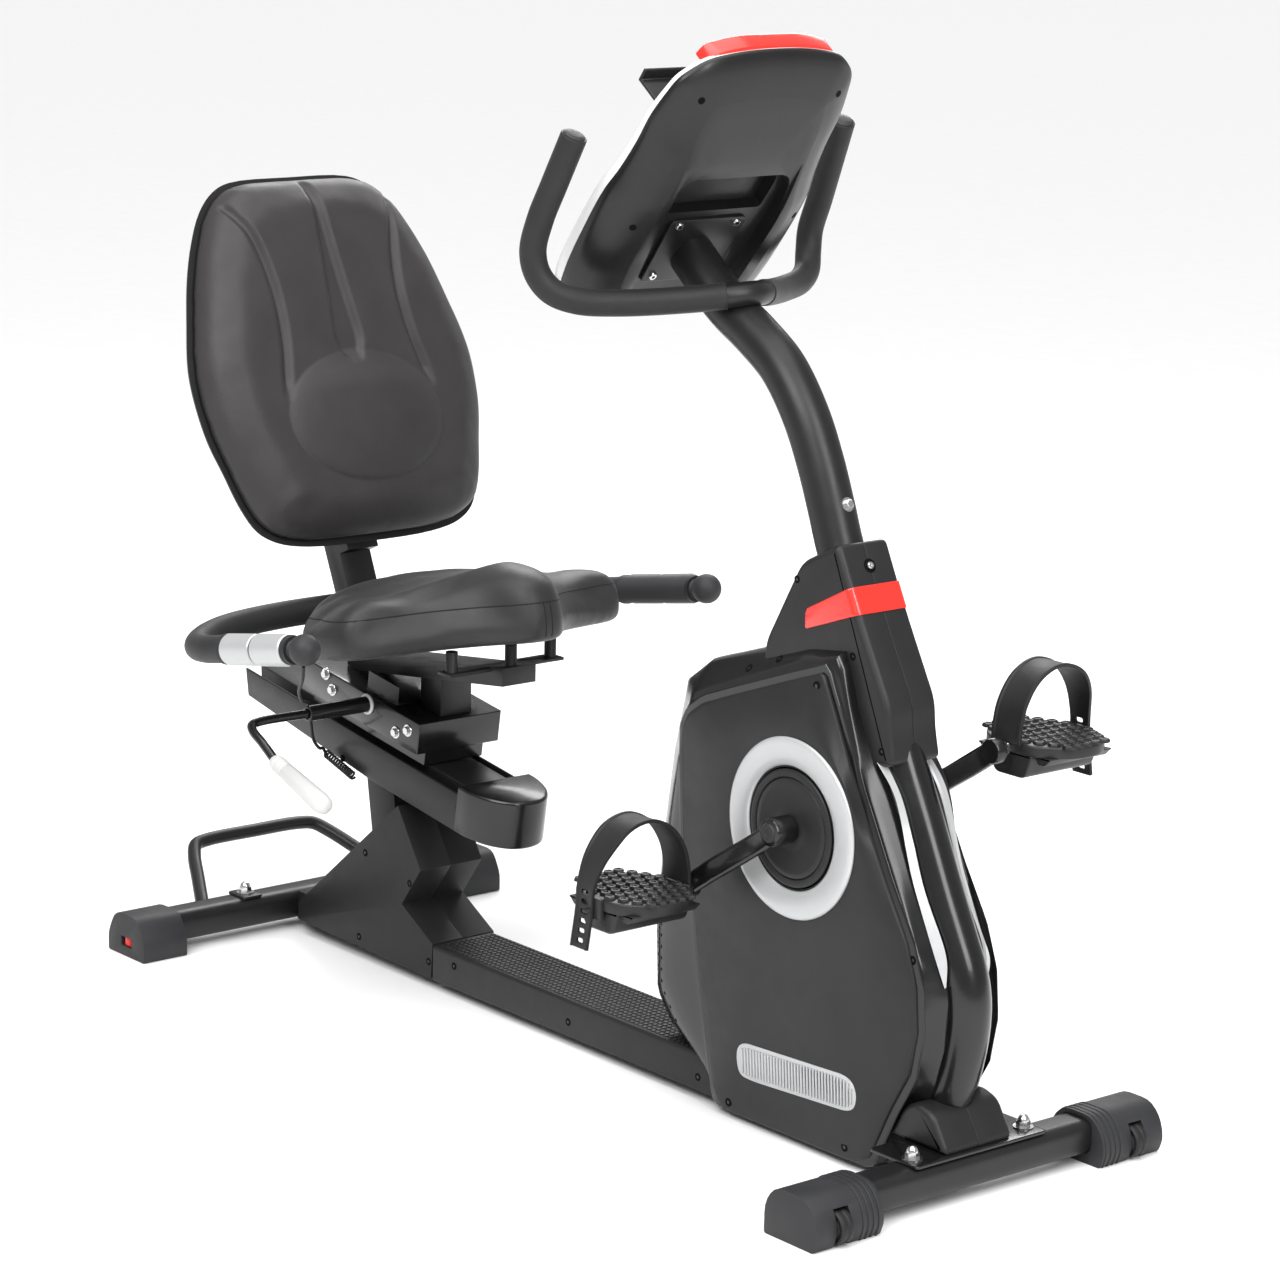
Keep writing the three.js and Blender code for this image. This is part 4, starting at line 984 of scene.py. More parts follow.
def mast():
    shaft = Mesh().sweep(spline(MAST_PATH, 6), MAST_RADIUS, 48)
    plate = Mesh().slab(rectangle(-58, 58, -48, 50, 8), -3.2, 1, YZ, (0, 0.8), 2).turned(CONSOLE)
    return shaft.add(plate.points, plate.faces)


def handlebar():
    path = with_other_half(BAR_HALF[::-1], [(-418, 0, 986)])
    return Mesh().sweep(spline(path, 5), BAR_RADIUS)


def bar_grip():
    return Mesh().sweep(spline(BAR_HALF, 4), 16, 40, (1.2, 1.5))


def bar_end():
    end, before = Vector(BAR_HALF[-1]), Vector(BAR_HALF[-2])
    profile = [(0, -2), (13.5, -2), (13.5, 0.8), (12, 2.2), (6, 2.8), (0, 2.8)]
    return Mesh().lathe(profile, end, end - before, 40)


piece("front_main_frame", main_frame(), GLOSS_PAINT, "frame", ["front_main_tube"], angle=50)
piece("front_weld_bead", weld_bead(), GLOSS_PAINT, "frame")
piece("mast_tube", mast(), POWDER, "frame", ["mast"], angle=50)
piece("handlebar_tube", handlebar(), POWDER, "frame", ["handlebar"])
both_sides("handlebar_foam", bar_grip, FOAM, "frame", "handlebar_grip", angle=60)
both_sides("handlebar_end", bar_end, CAP, "frame")


# ---- drive, cranks and pedals ----
PEDAL_MIDDLE = 201.5
PEDAL_HALF = [(73, 22, 20), (40, 60, 24), (-40, 60, 24), (-73, 22, 20)]


def crank_disc():
    profile = [(10.4, 68), (70, 68), (70, 76.8), (68.8, 78.2), (67, 78.6), (61.5, 78.6), (60.4, 77.6),
               (60, 76.4), (59.4, 77.6), (58.4, 78.4), (52, 78.4), (30, 79), (24, 79.4), (22, 80),
               (10.4, 80), (10.4, 68)]
    return Mesh().lathe(profile, CRANK_SPOT, ACROSS, 128)


def arm_frame(angle):
    return Matrix.Translation(CRANK_SPOT) @ Matrix.Rotation(-angle, 4, "Y")


def crank_arm(angle):
    tip = CRANK_LENGTH + 6
    bar = [(-6, 95, 4), (40, 95, 12), (80, 101, 12), (122, 110, 14), (tip, 111, 3), (tip, 124, 3),
           (118, 123, 14), (76, 115, 12), (38, 108, 12), (-6, 108, 4)]
    boss = [(10.3, 80.5), (15.5, 80.5), (17, 82), (17, 109), (16, 111), (12.5, 112), (10.3, 112),
            (10.3, 80.5)]
    eye = [(0, 110.4), (14, 110.4), (15, 111.6), (15, 124.4), (14, 125.4), (0, 125.4)]
    arm = Mesh().slab(rounded(bar), -13, 13, LEVEL, (5, 5), 5)
    arm.lathe(boss, (0, 0, 0), ACROSS)
    arm.lathe(eye, (CRANK_LENGTH, 0, 0), ACROSS)
    return arm.turned(arm_frame(angle))


def crank_cap(angle):
    profile = [(0, 109), (11.5, 109), (11.5, 112.6), (10.5, 113.8), (4.5, 114), (4, 113), (0, 113)]
    return Mesh().lathe(profile, (0, 0, 0), ACROSS, 40).turned(arm_frame(angle))


def pedal_axle(angle):
    profile = [(0, 120), (8, 120), (8, 125.5), (11, 125.5), (11, 130), (9.5, 131.5), (9.5, 133), (6, 134),
               (6, 249), (5, 250), (0, 250)]
    return Mesh().lathe(profile, (CRANK_LENGTH, 0, 0), ACROSS, 32).turned(arm_frame(angle))


def pedal_spot(side):
    return Vector((CRANK_X + side * CRANK_LENGTH * math.cos(CRANK_ANGLE), 0,
                   CRANK_Z + side * CRANK_LENGTH * math.sin(CRANK_ANGLE)))


def pedal():
    outline = rounded([(a, b + PEDAL_MIDDLE, r) for a, b, r in with_other_half(PEDAL_HALF)])
    body = Mesh().slab(outline, -5, 9, LEVEL, (2, 2.5), 3)
    body.slab(rounded([(-36, -4, 2), (-25, -33, 9), (25, -33, 9), (36, -4, 2)]), 143, 256, XZ, (2.5, 4), 3)
    for side in (-1, 1):
        rib = rounded([(side * 60, -4, 2), (side * 50, -14, 4), (side * 38, -14, 4), (side * 34, -4, 2)])
        body.slab(rib, 150, 252, XZ, (2, 2), 2)
    return body


def pedal_treads():
    """The staggered blocks that the sole stands on."""
    treads = Mesh()
    for row in range(-4, 5):
        for column in range(-4, 5):
            x, y = row * 16.5, PEDAL_MIDDLE + (column + 0.5 * (row % 2)) * 14.5
            if abs(x) > 66 or abs(y - PEDAL_MIDDLE) > 56 or abs(x) + abs(y - PEDAL_MIDDLE) > 100:
                continue
            treads.lathe([(0, 8), (7.6, 8), (7.6, 10.6), (6, 12.6), (3.6, 12.9), (3, 11.8), (0, 11.8)],
                         (x, y, 0), UPWARD, 6)
    return treads


def pedal_bolt():
    profile = [(0, 254), (9, 254), (9, 257), (8, 258.4), (4.6, 258.6), (4.2, 257), (0, 257)]
    return Mesh().lathe(profile, (0, 0, 0), ACROSS, 32)


STRAP_PATH = [(137, 8), (137.5, 24), (145, 54), (166, 82), (198, 95), (232, 86), (256, 58), (267, 22),
              (269, -6), (276, -52)]
STRAP_SECTION = [(-23, -2.2), (23, -2.2), (23, 2.2), (19.5, 2.2), (18, 0.9), (-18, 0.9), (-19.5, 2.2),
                 (-23, 2.2)]


def strap():
    path = spline([(0, a, b) for a, b in STRAP_PATH], 4)
    rings = []
    for k, (before, here, after) in enumerate(zip(path[:1] + path, path, path[1:] + path[-1:])):
        along = (after - before).normalized()
        outward = along.cross(Vector((1, 0, 0)))
        tail = smoothstep(k / len(path), 0.52, 0.78)
        wide, shift = 1 - 0.36 * tail, -9 * tail
        rings.append([here + Vector((1, 0, 0)) * (across * wide + shift) - outward * up
                      for across, up in STRAP_SECTION])
    return Mesh().loft(rings)


def strap_slots():
    """The shapes of the adjustment slots, cut through the strap's tail."""
    slots = Mesh()
    for k in range(6):
        z = -43 + k * 11.5
        slots.slab(rectangle(-15, -3, z - 3, z + 3, 2.8, 3), 255, 290, XZ)
    return slots


def buckle():
    """The peg plate that holds the strap's tail on the pedal's outer side."""
    plate = Mesh().slab(rectangle(-16, 16, -16, 10, 4), 259, 266, XZ, (1, 1), 2)
    return plate.slab(rectangle(-5, 5, -7.5, -3.5, 2, 3), 264, 276, XZ, (0, 1), 2)


def carve(obj, tool_mesh):
    """Cuts the tool's shape out of the object."""
    tool = solid("tool", tool_mesh)
    modifier = obj.modifiers.new("cut", "BOOLEAN")
    modifier.operation = "DIFFERENCE"
    modifier.solver = "EXACT"
    modifier.use_self = True
    modifier.object = tool
    apply_modifiers(obj)
    bpy.data.objects.remove(tool)


def slice_off(obj, planes):
    """Keeps the part of the object behind all the planes, and closes it."""
    shape = bmesh.new()
    shape.from_mesh(obj.data)
    for (x, z), (a, b) in planes:
        geometry = shape.verts[:] + shape.edges[:] + shape.faces[:]
        bmesh.ops.bisect_plane(shape, geom=geometry, plane_co=place(x, 0, z), plane_no=(a, 0, b),
                               clear_outer=True)
        bmesh.ops.holes_fill(shape, edges=[e for e in shape.edges if e.is_boundary])
    shape.to_mesh(obj.data)
    shape.free()


def sided(mesh, side):
    return mesh if side > 0 else mesh.mirrored()


for node, material in (("crank_axle", STEEL), ("flywheel", IRON), ("drive_belt", RUBBER)):
    refined(node, material, 0.5)
both_sides("crank_disc_cover", crank_disc, PANEL, "crank", "crank_disc")
for side, name in ((1, "left"), (-1, "right")):
    angle = CRANK_ANGLE + (0 if side > 0 else math.pi)
    at_pedal = Matrix.Translation(pedal_spot(side))
    pedal_body = f"pedal_{name}_body"
    piece("crank_arm_bar_" + name, sided(crank_arm(angle), side), GLOSS_PAINT, "crank",
          ["crank_arm_" + name])
    piece("crank_cap_" + name, sided(crank_cap(angle), side), CAP, "crank")
    piece("pedal_axle_" + name, sided(pedal_axle(angle), side), STEEL, "crank")
    for label, mesh, material, nodes in (("pedal_platform_", pedal(), PEDAL, ["pedal_" + name]),
                                         ("pedal_treads_", pedal_treads(), PEDAL, []),
                                         ("pedal_bolt_", pedal_bolt(), STEEL, []),
                                         ("pedal_buckle_", buckle(), PEDAL, [])):
        piece(label + name, sided(mesh.turned(at_pedal), side), material, pedal_body, nodes)
    band = solid("pedal_strap_band_" + name, sided(strap().turned(at_pedal), side))
    carve(band, sided(strap_slots().turned(at_pedal), side))
    settle(band, RUBBER, pedal_body, ["pedal_strap_" + name], bevel=0.5, angle=30)


# ---- housing: two half shells, domed side panels, ring trims ----
PANEL_OUTLINE = [(-204.5, 579.5), (-271.5, 555.5), (-360.5, 522.5), (-415.5, 501.5), (-441.5, 483.5),
                 (-451.5, 464.5), (-451.5, 437.5), (-444.5, 320.5), (-424.5, 257.5), (-409.5, 169.5),
                 (-388.5, 75.5), (-377.5, 21.5), (-357.5, 8.5), (-129.5, 9.5), (-102.5, 21.5),
                 (-68.5, 90.5), (-39.5, 140.5), (-29.5, 192.5), (-34.5, 247.5), (-52.5, 295.5),
                 (-92.5, 360.5), (-139.5, 447.5), (-180.5, 531.5)]
SHOULDER_OUTLINE = [(-186, 600), (-250, 586), (-347, 548), (-415, 522), (-448, 508), (-470, 430),
                    (-484, 322), (-493, 212), (-490, 130), (-461, 91), (-400, 40), (-350, 11), (-230, 11),
                    (-101, 12), (-80, 40), (-60, 106), (-33, 165), (-28, 212), (-36, 262), (-84, 362),
                    (-130, 449), (-166, 540)]
MIDDLE_OUTLINE = [(-190, 608), (-250, 602), (-350, 572), (-440, 542), (-480, 512), (-503, 420), (-520, 305),
                  (-529, 190), (-524, 110), (-495, 74), (-420, 42), (-350, 11), (-230, 11), (-95, 12),
                  (-66, 50), (-38, 108), (-20, 167), (-16, 226), (-28, 288), (-72, 364), (-118, 450),
                  (-166, 540)]
SHELL_CENTRE = Vector((-240, 290))
CRANK_CENTRE = Vector((CRANK_X, CRANK_Z))
DOME_FIELD, DOME_OPENING, DOME_STEPS = 112, 71.5, 18
HOUSING_BASE = 9
HALF_GAP = 0.15
PANEL_RING = by_angle(PANEL_OUTLINE, CRANK_CENTRE, 180)
REACHES = [(p - CRANK_CENTRE).length for p in PANEL_RING]


def housing_shell():
    centre = inset(MIDDLE_OUTLINE, -5)
    rings = []
    for y, outline in ((HALF_GAP, centre), (14, centre), (30, MIDDLE_OUTLINE), (52, SHOULDER_OUTLINE),
                       (57, inset(PANEL_OUTLINE, -10)), (59, inset(PANEL_OUTLINE, -8))):
        ring = by_angle(outline, SHELL_CENTRE, 160)
        rings.append([Vector((p.x, y, max(p.y, HOUSING_BASE))) for p in ring])
    return Mesh().loft(skin(rings, 5))


def dome_rise(part):
    """The side panel's height a share of the way from its edge to its flat field."""
    return PANEL_EDGE + (PANEL_FACE - PANEL_EDGE) * math.sin(math.pi / 2 * part)


def dome_height(x, z):
    """How far out the side panel's surface is at a spot."""
    offset = Vector((x, z)) - CRANK_CENTRE
    turn = math.atan2(offset.y, offset.x) % (2 * math.pi)
    edge = REACHES[round(turn / (2 * math.pi) * len(REACHES)) % len(REACHES)]
    return dome_rise(min(1.0, max(0.0, (edge - offset.length) / (edge - DOME_FIELD))))


def side_panel():
    def ring(part, y):
        spots = []
        for p, reach in zip(PANEL_RING, REACHES):
            q = CRANK_CENTRE + (p - CRANK_CENTRE) * (1 + (DOME_FIELD / reach - 1) * part)
            spots.append(Vector((q.x, y, q.y)))
        return spots

    def circle(radius, y):
        return [Vector((q.x, y, q.y)) for q in (CRANK_CENTRE + (p - CRANK_CENTRE).normalized() * radius
                                                for p in PANEL_RING)]

    rings = [ring(0, 57), ring(0, 61), ring(0.004, 62), ring(0.012, 62.7)]
    for k in range(1, DOME_STEPS + 1):
        part = 0.012 + 0.988 * k / DOME_STEPS
        rings.append(ring(part, dome_rise(part)))
    rings += [circle(73, PANEL_FACE), circle(72, PANEL_FACE - 0.4), circle(DOME_OPENING, PANEL_FACE - 1.4),
              circle(DOME_OPENING, 64)]
    return Mesh().loft(rings + rings[:1], (False, False))


def ring_trim():
    profile = [(74, 75.6), (107.5, 75.6), (108, 77), (107, 78.8), (104.5, 79.6), (100, 79.8), (84, 79.2),
               (77, 78.2), (74.6, 77.2), (74, 75.6)]
    return Mesh().lathe(profile, CRANK_SPOT, ACROSS, 160)


def on_dome(mesh):
    """Lays a mesh whose y is its height above the side panel on the panel's dome."""
    mesh.points = [Vector((p.x, p.y + dome_height(p.x, p.z), p.z)) for p in mesh.points]
    return mesh


BADGE = rounded([(-329, 106, 24), (-329, 64, 20), (-306, 61, 20), (-124, 72, 22), (-118, 96, 14),
                 (-130, 116, 20)])
BADGE_RIBS = 37


def badge_plate():
    return on_dome(Mesh().slab(BADGE, -1, 0.9, XZ, (0, 0.5), 2))


def badge_ribs():
    ribs = Mesh()
    inner = inset(BADGE, 5)
    for k in range(BADGE_RIBS):
        x = -318 + k * (318 - 127) / (BADGE_RIBS - 1)
        heights = []
        for a, b in zip(inner, inner[1:] + inner[:1]):
            if (a.x - x) * (b.x - x) < 0:
                heights.append(a.y + (b.y - a.y) * (x - a.x) / (b.x - a.x))
        if len(heights) == 2:
            low, high = min(heights), max(heights)
            ribs.slab(rectangle(x - 1.6, x + 1.6, low, high), 0.5, 2.8, XZ, (0, 1.4), 3)
    return on_dome(ribs)


def edge_strip():
    """The bright strip between the housing and the main tube."""
    front = even(spline([(-127, 31, 484), (-100, 31, 450), (-77, 31, 399), (-58, 31, 352), (-21, 31, 289),
                         (-16, 31, 273), (-15, 32, 246)]), 60, False)
    rear = even(spline([(-133, 40, 485), (-102, 40, 452), (-70, 40, 366), (-37, 40, 299), (-19, 40, 265),
                        (-15.5, 34, 245)]), 60, False)
    inward = Vector((-2, -2, -1))
    return Mesh().loft([[a, b, b + inward, a + inward] for a, b in zip(front, rear)])


both_sides("housing_half", housing_shell, GLOSS, "frame", "housing_shell")
both_sides("side_panel_dome", side_panel, PANEL, "frame", "side_panel", angle=50)
both_sides("ring_trim_band", ring_trim, SILVER, "frame", "ring_trim", angle=50)
both_sides("badge_plate", badge_plate, SILVER, "frame")
both_sides("badge_ribs", badge_ribs, SILVER, "frame")
both_sides("edge_strip", edge_strip, SILVER, "frame")


def vent_shades():
    """Small dark discs of painted shade for the vent openings in the part of the housing that faces the
    seat.
    """
    shell = bpy.data.objects["housing_half_left"]
    rays = []
    for row in range(24):
        for column in range(5):
            y = 22 + column * 6.5 + (row % 2) * 3.2
            rays.append(((-700, y, 84 + row * 7.2), (1, 0, 0)))
    hole_shade = Mesh()
    for spot, normal in on_surface(shell, LEVEL, rays):
        hole_shade.lathe(disc(2.3, -0.6, 0.12), spot, normal, 10)
    return hole_shade


# Painted shade discs for the vent openings, on both housing halves.
both_sides("housing_vent_shade", vent_shades, PAINTED_SHADE, "frame")


# ---- upper shroud, stripe, foot cover ----
SHROUD_OUTLINE = [(-212, 725, 8), (-275, 694, 14), (-291, 666, 20), (-335, 588, 16), (-335, 558),
                  (-209, 558, 6), (-187, 498, 14), (-157, 472, 12), (-109, 484, 8), (-117, 518, 10),
                  (-120, 551, 14), (-176, 652, 40)]
STRIPE_RISE = 1.3
# The stripe keeps what is behind these lines, each a spot and the way out, in x and z.
STRIPE_PLANES = [((-261, 617), (0.342, -0.94)), ((-261, 641), (-0.455, 0.89)), ((-261, 629), (-1, 0)),
                 ((-259.5, 618.5), (-0.75, -0.66)), ((-259.5, 639.5), (-0.9, 0.43))]
FOOT_OUTLINE = [(-78, 58.6), (-56, 98, 10), (-36, 108, 10), (-8, 100, 10), (14, 64, 4), (14, 58.6)]


def shroud_half():
    return Mesh().slab(rounded(SHROUD_OUTLINE), HALF_GAP, SHROUD_HALF, XZ, (0.9, 9), 6)


def foot_half():
    return Mesh().slab(rounded(FOOT_OUTLINE), HALF_GAP, 54, XZ, (0.8, 7), 5)


def stripe_band():
    """The shroud's own shape, a little larger, that the stripe is sliced from."""
    corners = zip(inset(SHROUD_OUTLINE, -STRIPE_RISE), SHROUD_OUTLINE)
    outline = rounded([(p.x, p.y, *corner[2:]) for p, corner in corners])
    half = SHROUD_HALF + STRIPE_RISE
    return Mesh().slab(outline, -half, half, XZ, (9.4, 9.4), 6)


both_sides("upper_shroud_half", shroud_half, PANEL, "frame", "upper_shroud")
foot = foot_half()
piece("foot_cover_half_left", foot, PANEL, "frame", ["front_foot_cover"])
piece("foot_cover_half_right", foot.copy().mirrored(), PANEL, "frame")
STRIPE = solid("shroud_stripe_band", stripe_band())
slice_off(STRIPE, STRIPE_PLANES)
settle(STRIPE, RED, "frame", ["shroud_stripe"], bevel=0.7, angle=50)


# ---- console ----
CONSOLE_HALF = [(0, -104), (110, -102), (140, -84), (151, -48), (156, 23), (155, 78), (148, 110),
                (144, 150), (144, 192), (138, 224), (131, 246), (117, 261), (98, 273), (55, 282), (0, 285)]
CONSOLE_RIM, CONSOLE_FACE, CONSOLE_FLOOR = -32, -55, -3.5
DEEP_RECESS = [(-74, 60, 6), (74, 60, 6), (77, 117, 20), (-77, 117, 20)]
UPPER_RECESS = [(-91, 70), (91, 70), (88, 176, 26), (-88, 176, 26)]
RECESS = [(-78, -90, 8), (78, -90, 8), (92, 60, 24), (84, 124, 24), (-84, 124, 24), (-92, 60, 24)]


def console_ring(shrink, depth):
    """A smooth ring of the console's outline; depth gives x from the height."""
    outline = spline(inset(symmetric(CONSOLE_HALF), shrink), closed=True, per_span=5)
    return [Vector((depth(p.y), p.x, p.y)) for p in outline]


def console_back():
    def depth(x):
        return lambda z: CONSOLE_RIM + (x - CONSOLE_RIM) * (1 - 0.45 * smoothstep(z, 60, 285))

    levels = [(CONSOLE_RIM, 0), (-20, 1), (-4, 12), (8, 30), (16, 52)]
    rings = skin([console_ring(shrink, depth(x)) for x, shrink in levels], 5)
    centre = Vector((depth(21)(90), 0, 90))
    inner = [[p.lerp(centre, share) for p in rings[-1]] for share in (0.15, 0.35, 0.6, 0.9)]
    return Mesh().loft(rings + inner).turned(CONSOLE)


def face_at(z):
    return CONSOLE_FACE + 8 - (150 - z) * 0.045


def console_bezel():
    def depth(part):
        return lambda z: CONSOLE_RIM - 0.3 + (face_at(z) - CONSOLE_RIM + 0.3) * part

    levels = [(0, 0), (0.4, 1), (0.7, 3), (0.88, 5.6), (0.97, 8.4), (1, 12)]
    return Mesh().loft([console_ring(shrink, depth(part)) for part, shrink in levels]).turned(CONSOLE)


def on_face(outline, height):
    """A thin plate on the console's face, from an outline of (y, z)."""
    plate = Mesh().slab(outline, 0, height, REARWARD, (0, 0.8), 2)
    plate.points = [Vector((p.x + face_at(p.z) + 0.4, p.y, p.z)) for p in plate.points]
    return plate.turned(CONSOLE)


def top_cap():
    outline = rounded([(-99, 259, 4), (99, 259, 4), (93, 276, 10), (50, 286.5, 20), (-50, 286.5, 20),
                       (-93, 276, 10)])
    return Mesh().slab(outline, -57, -33, YZ, (3, 3), 4).turned(CONSOLE)


CONSOLE_SHELL = solid("console_shell", console_back())
for outline, level in ((RECESS, CONSOLE_FLOOR), (UPPER_RECESS, 10), (DEEP_RECESS, -20)):
    carve(CONSOLE_SHELL, Mesh().slab(rounded(outline, 8), level, 60, YZ).turned(CONSOLE))
settle(CONSOLE_SHELL, CONSOLE_PLASTIC, "frame", ["console_back_shell"], bevel=2.4, angle=42, segments=3)
piece("console_front_bezel", console_bezel(), WHITE, "frame", ["console_bezel"])
piece("console_top_cap", top_cap(), RED, "frame")
SCREEN = rectangle(-92, 92, 8, 128, 10)
PAD_FIELD = rounded([(-100, -84, 14), (100, -84, 14), (108, -10, 14), (-108, -10, 14)])
piece("console_screen_frame", on_face(inset(SCREEN, -12), 1.6), CONSOLE_PLASTIC, "frame")
piece("console_screen", on_face(SCREEN, 2.0), GLOSS, "frame")
piece("console_key_field", on_face(PAD_FIELD, 1.4), CONSOLE_PLASTIC, "frame")
for number, y in enumerate((-34, 0, 34), 1):
    profile = [(0, -4), (9, -4), (9, 2.6), (8, 3.8), (4, 4.2), (0, 4)]
    button = Mesh().lathe(profile, (CONSOLE_FACE, y, -52), (-1, 0, 0), 40)
    piece(f"console_button_cap_{number}", button.turned(CONSOLE), BUTTON, f"button_{number}",
          [f"console_button_{number}"])
refined("reading_rack", CONSOLE_PLASTIC, 1.2)


# ---- screws, bolts and nuts; the spots are (x, z) on a side ----
PANEL_SCREWS = [(-348, 21), (-141, 25), (-430, 262), (-210, 563)]
SHROUD_SCREWS = [(-278, 673), (-179, 600), (-126, 499)]
BASE_SCREWS = [(-1118, 152), (-1017, 133), (-1132, 31), (-973, 36), (-917, 44), (-675, 32), (-420, 30)]
RAIL_SCREWS = [(-1166, 274), (-906, 262)]
CARRIAGE_BOLTS = [(-1188, 388), (-1173, 369), (-1028, 340), (-1001, 348)]


def plate_screws():
    """Pan-head screws in the mount plate's four corners, with dark discs of painted shade for their
    sockets.
    """
    heads, hole_shade = Mesh(), Mesh()
    for y in (-44, 44):
        for z in (-38, 42):
            screw(heads, hole_shade, (1, y, z), (1, 0, 0), 5.5, 3)
    return heads.turned(CONSOLE), hole_shade.turned(CONSOLE)


def sunk_screw(mesh, hole_shade, spot, normal, radius=5.4):
    """A screw's head on a dark disc of painted shade for its pocket."""
    pocket_shade(hole_shade, spot, normal, radius)
    head = radius * 0.4
    mesh.lathe([(0, 0), (head, 0), (head, 0.4), (radius * 0.2, 0.5), (0, 0.5)], spot, normal, 16)


def frame_screws():
    """The sunk screws of the covers and the painted shade discs of their pockets, on the left; the right
    has their mirror image.
    """
    heads, hole_shade = Mesh(), Mesh()
    for x, z in PANEL_SCREWS:
        sunk_screw(heads, hole_shade, (x, dome_height(x, z), z), ACROSS)
    shell = bpy.data.objects["housing_half_left"]
    rays = [((-50, 200, 276), (0.05, -1, 0)), ((-351, 46, 700), (0, 0, -1)), ((-300, 44, 700), (0, 0, -1))]
    for spot, normal in on_surface(shell, LEVEL, rays):
        sunk_screw(heads, hole_shade, spot, normal)
    for y, radius, spots in ((SHROUD_HALF, 4.6, SHROUD_SCREWS), (BASE_SIDE, 5, BASE_SCREWS),
                             (RAIL_SIDE, 5, RAIL_SCREWS)):
        for x, z in spots:
            sunk_screw(heads, hole_shade, (x, y, z), ACROSS, radius)
    return heads, hole_shade


def console_well_shade():
    """Dark discs of painted shade for the four screw recesses in the console's back."""
    shell = bpy.data.objects["console_shell"]
    rays = [((90, side * y, z), (-1, 0, 0)) for y, z in ((105, 232), (125, 53)) for side in (-1, 1)]
    hole_shade = Mesh()
    for spot, normal in on_surface(shell, CONSOLE, rays):
        pocket_shade(hole_shade, spot, normal, 4.4)
    return hole_shade.turned(CONSOLE)


def carriage_bolts():
    """Hex bolts with washers in the carriage's sides."""
    washer = [(0, -1), (8.5, -1), (8.5, 0.8), (8, 1.4), (0, 1.4)]
    head = [(0, 1), (5.6, 1), (5.6, 4.6), (5, 5.2), (0, 5.2)]
    bolts = Mesh()
    for side in (-1, 1):
        for x, z in CARRIAGE_BOLTS:
            spot = (x, side * CARRIAGE_SIDE, z)
            bolts.lathe(washer, spot, (0, side, 0), 28).lathe(head, spot, (0, side, 0), 6)
    return bolts


def seam_bolt():
    """The bolts on the shroud's front seam and on the mast above it, and a dark disc of painted shade in
    the first one's recess.
    """
    spot, slope = (-198.6, 0, 698), (0.9, 0, 0.44)
    socket_head = [(0, 0), (4.6, 0), (4.6, 2), (3.6, 3.2), (1.8, 3.2), (1.6, 1.8), (0, 1.8)]
    well_shade = Mesh().lathe([(0, -2), (8.5, -2), (8.5, 0.3), (0, 0.25)], spot, slope, 32)
    bolt = Mesh().lathe(socket_head, spot, slope, 24)
    mast_spot, forward = (-266, 0, 752), (0.93, 0, 0.37)
    bolt.lathe(disc(8.5, 26, 29.6), mast_spot, forward, 28)
    bolt.lathe([(0, 29), (5.6, 29), (5.6, 33.6), (4.6, 34.6), (0, 34.6)], mast_spot, forward, 6)
    return bolt, well_shade


def nuts():
    bright = Mesh()
    for y in (-88, 88):
        acorn_nut(bright, (-2, y, 58))
    for y in (-108, 108):
        acorn_nut(bright, (REAR_X, y, 57))
    return bright


def rear_saddles():
    """The curved washers under the rear nuts."""
    plates = Mesh()
    for y in (-108, 108):
        plates.slab(rectangle(REAR_X - 20, REAR_X + 20, y - 16, y + 16, 5), 53.6, 57, LEVEL, (0, 1), 2)
    return plates


heads, hole_shade = frame_screws()
bolt, well_shade = seam_bolt()
piece("shroud_seam_bolt", bolt, STEEL, "frame")
# A dark disc of painted shade in the seam bolt's recess.
piece("shroud_seam_well_shade", well_shade, PAINTED_SHADE, "frame")
# Dark discs of painted shade in the console's screw recesses.
piece("console_screw_well_shade", console_well_shade(), PAINTED_SHADE, "frame")
piece("carriage_bolts", carriage_bolts(), STEEL, "seat")
piece("cover_screws_left", heads, GLOSS_PAINT, "frame")
# Dark discs of painted shade in the left cover screws' pockets.
piece("cover_screw_socket_shade_left", hole_shade, PAINTED_SHADE, "frame")
piece("cover_screws_right", heads.copy().mirrored(), GLOSS_PAINT, "frame")
# Dark discs of painted shade in the right cover screws' pockets.
piece("cover_screw_socket_shade_right", hole_shade.copy().mirrored(), PAINTED_SHADE, "frame")
heads, hole_shade = plate_screws()
piece("mount_plate_screws", heads, STEEL, "frame")
# Dark discs of painted shade in the mount plate screws' sockets.
piece("mount_plate_socket_shade", hole_shade, PAINTED_SHADE, "frame")
piece("acorn_nuts", nuts(), STEEL, "frame")
piece("rear_saddle_plates", rear_saddles(), POWDER, "frame")


# ---- floor, light, camera ----
AMBIENT, SKY_STRENGTH, SKY_ANGLE = 0.46, 2.3, math.radians(70)
FLOOR_HALF = 30
CAMERA_SPOT = (2994.5, -2982.0, 1587.3)
CAMERA_TURN, CAMERA_TILT, CAMERA_ROLL = (math.radians(a) for a in (50.39, 12.69, 1.14))
CAMERA_LENS, CAMERA_SENSOR, CAMERA_REACH = 109.25, 36, 200


def area_light(name, spot, towards, size, power):
    light = bpy.data.lights.new(name, "AREA")
    light.shape = "RECTANGLE"
    light.size, light.size_y = size
    light.energy = power
    obj = linked(name, light)
    obj.location = spot
    obj.rotation_euler = (Vector(towards) - obj.location).to_track_quat("-Z", "Y").to_euler()


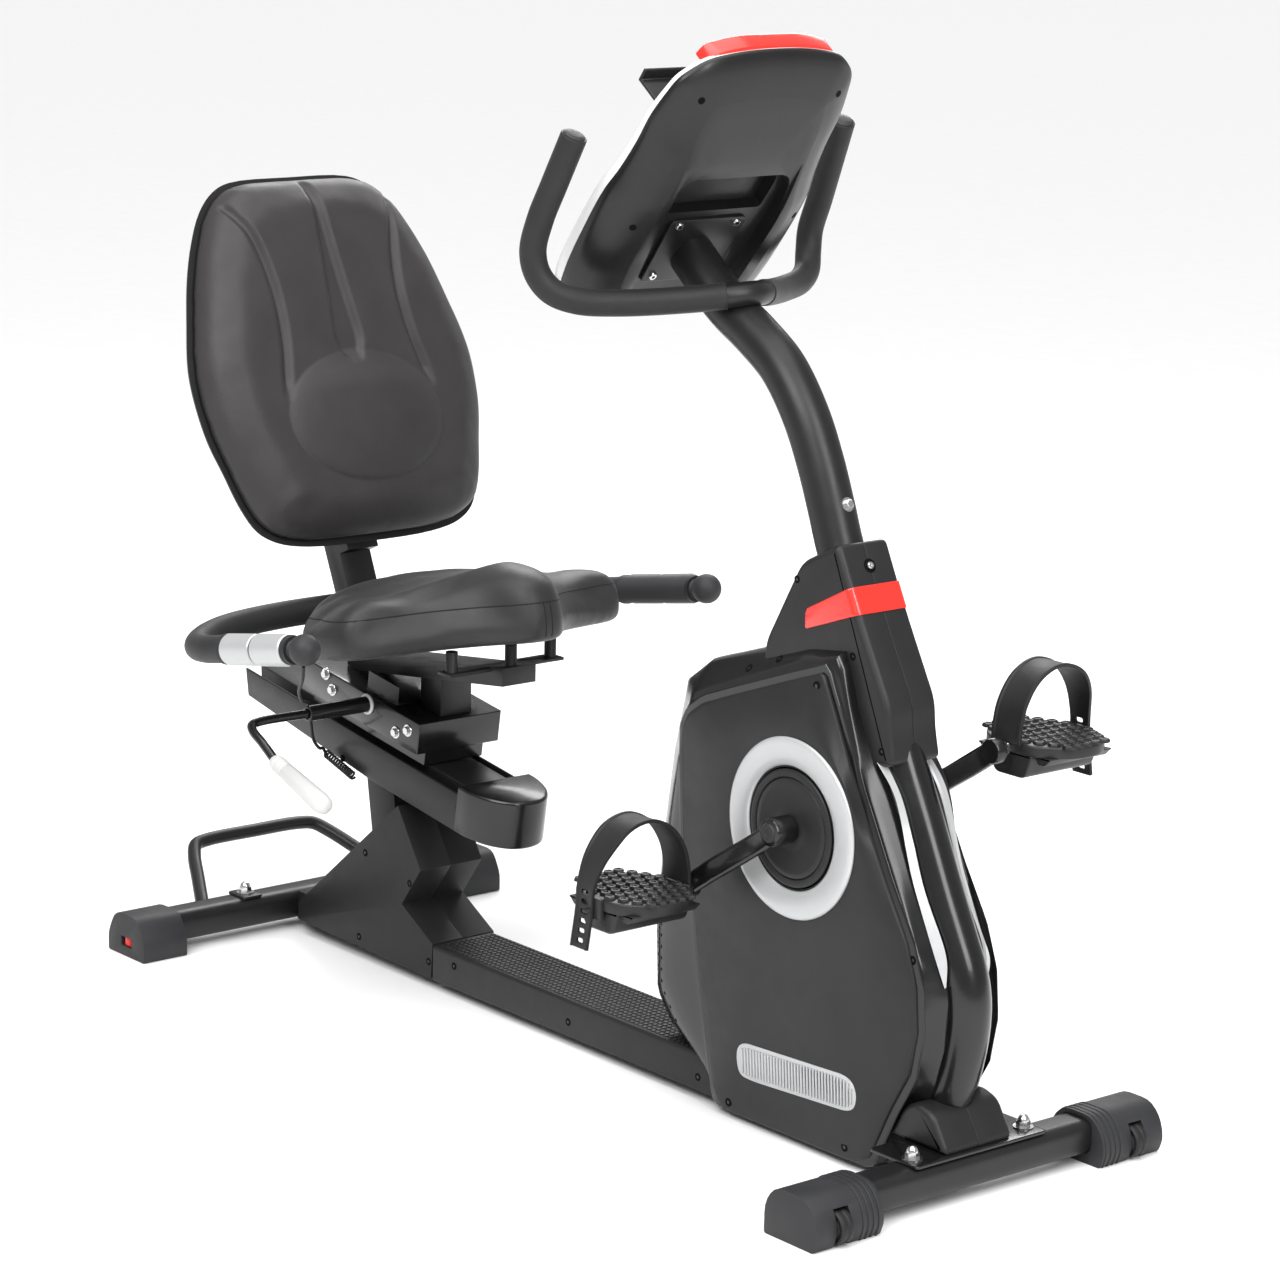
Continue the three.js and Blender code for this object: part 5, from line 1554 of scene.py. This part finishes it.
def studio():
    world = bpy.data.worlds.new("studio")
    world.use_nodes = True
    background = world.node_tree.nodes["Background"]
    background.inputs["Color"].default_value = (1, 1, 1, 1)
    background.inputs["Strength"].default_value = AMBIENT
    bpy.context.scene.world = world
    bpy.context.scene.view_settings.view_transform = "Standard"
    area_light("key", (1.4, -3.2, 3.4), (0, 0, 0.5), (2.6, 1.6), 95)
    area_light("front", (3.4, -0.4, 2.6), (0, 0, 0.6), (1.2, 2.6), 80)
    area_light("back", (-2.6, 2.6, 3.0), (0, 0, 0.6), (2.6, 1.4), 90)
    area_light("top", (-0.2, 0, 4.4), (0, 0, 0), (4.0, 2.4), 60)
    data = bpy.data.lights.new("sky", "SUN")
    data.energy = SKY_STRENGTH
    data.angle = SKY_ANGLE
    linked("sky", data).rotation_euler = (math.radians(18), math.radians(12), 0)


def floor():
    data = bpy.data.meshes.new("floor")
    corners = [(a * FLOOR_HALF, b * FLOOR_HALF, 0) for a, b in ((-1, -1), (1, -1), (1, 1), (-1, 1))]
    data.from_pydata(corners, [], [(0, 1, 2, 3)])
    data.materials.append(finish("pale_floor", "", (0.86, 0.86, 0.86), (0.55, 0.65),
                                 [("Noise", 40, 0.05, "Fac")], spread=0.01))
    linked("floor", data)


def camera():
    level = math.cos(CAMERA_TILT)
    back = Vector((math.sin(CAMERA_TURN) * level, -math.cos(CAMERA_TURN) * level, math.sin(CAMERA_TILT)))
    right = Vector((math.cos(CAMERA_TURN), math.sin(CAMERA_TURN), 0))
    up = back.cross(right)
    rolled_right = right * math.cos(CAMERA_ROLL) + up * math.sin(CAMERA_ROLL)
    rolled_up = up * math.cos(CAMERA_ROLL) - right * math.sin(CAMERA_ROLL)
    data = bpy.data.cameras.new("camera")
    data.sensor_width = CAMERA_SENSOR
    data.lens = CAMERA_LENS
    data.clip_end = CAMERA_REACH
    obj = linked("camera", data)
    turn = Matrix((rolled_right, rolled_up, back)).transposed().to_4x4()
    obj.matrix_world = Matrix.Translation(place(*CAMERA_SPOT)) @ turn
    bpy.context.scene.camera = obj


studio()
floor()
camera()
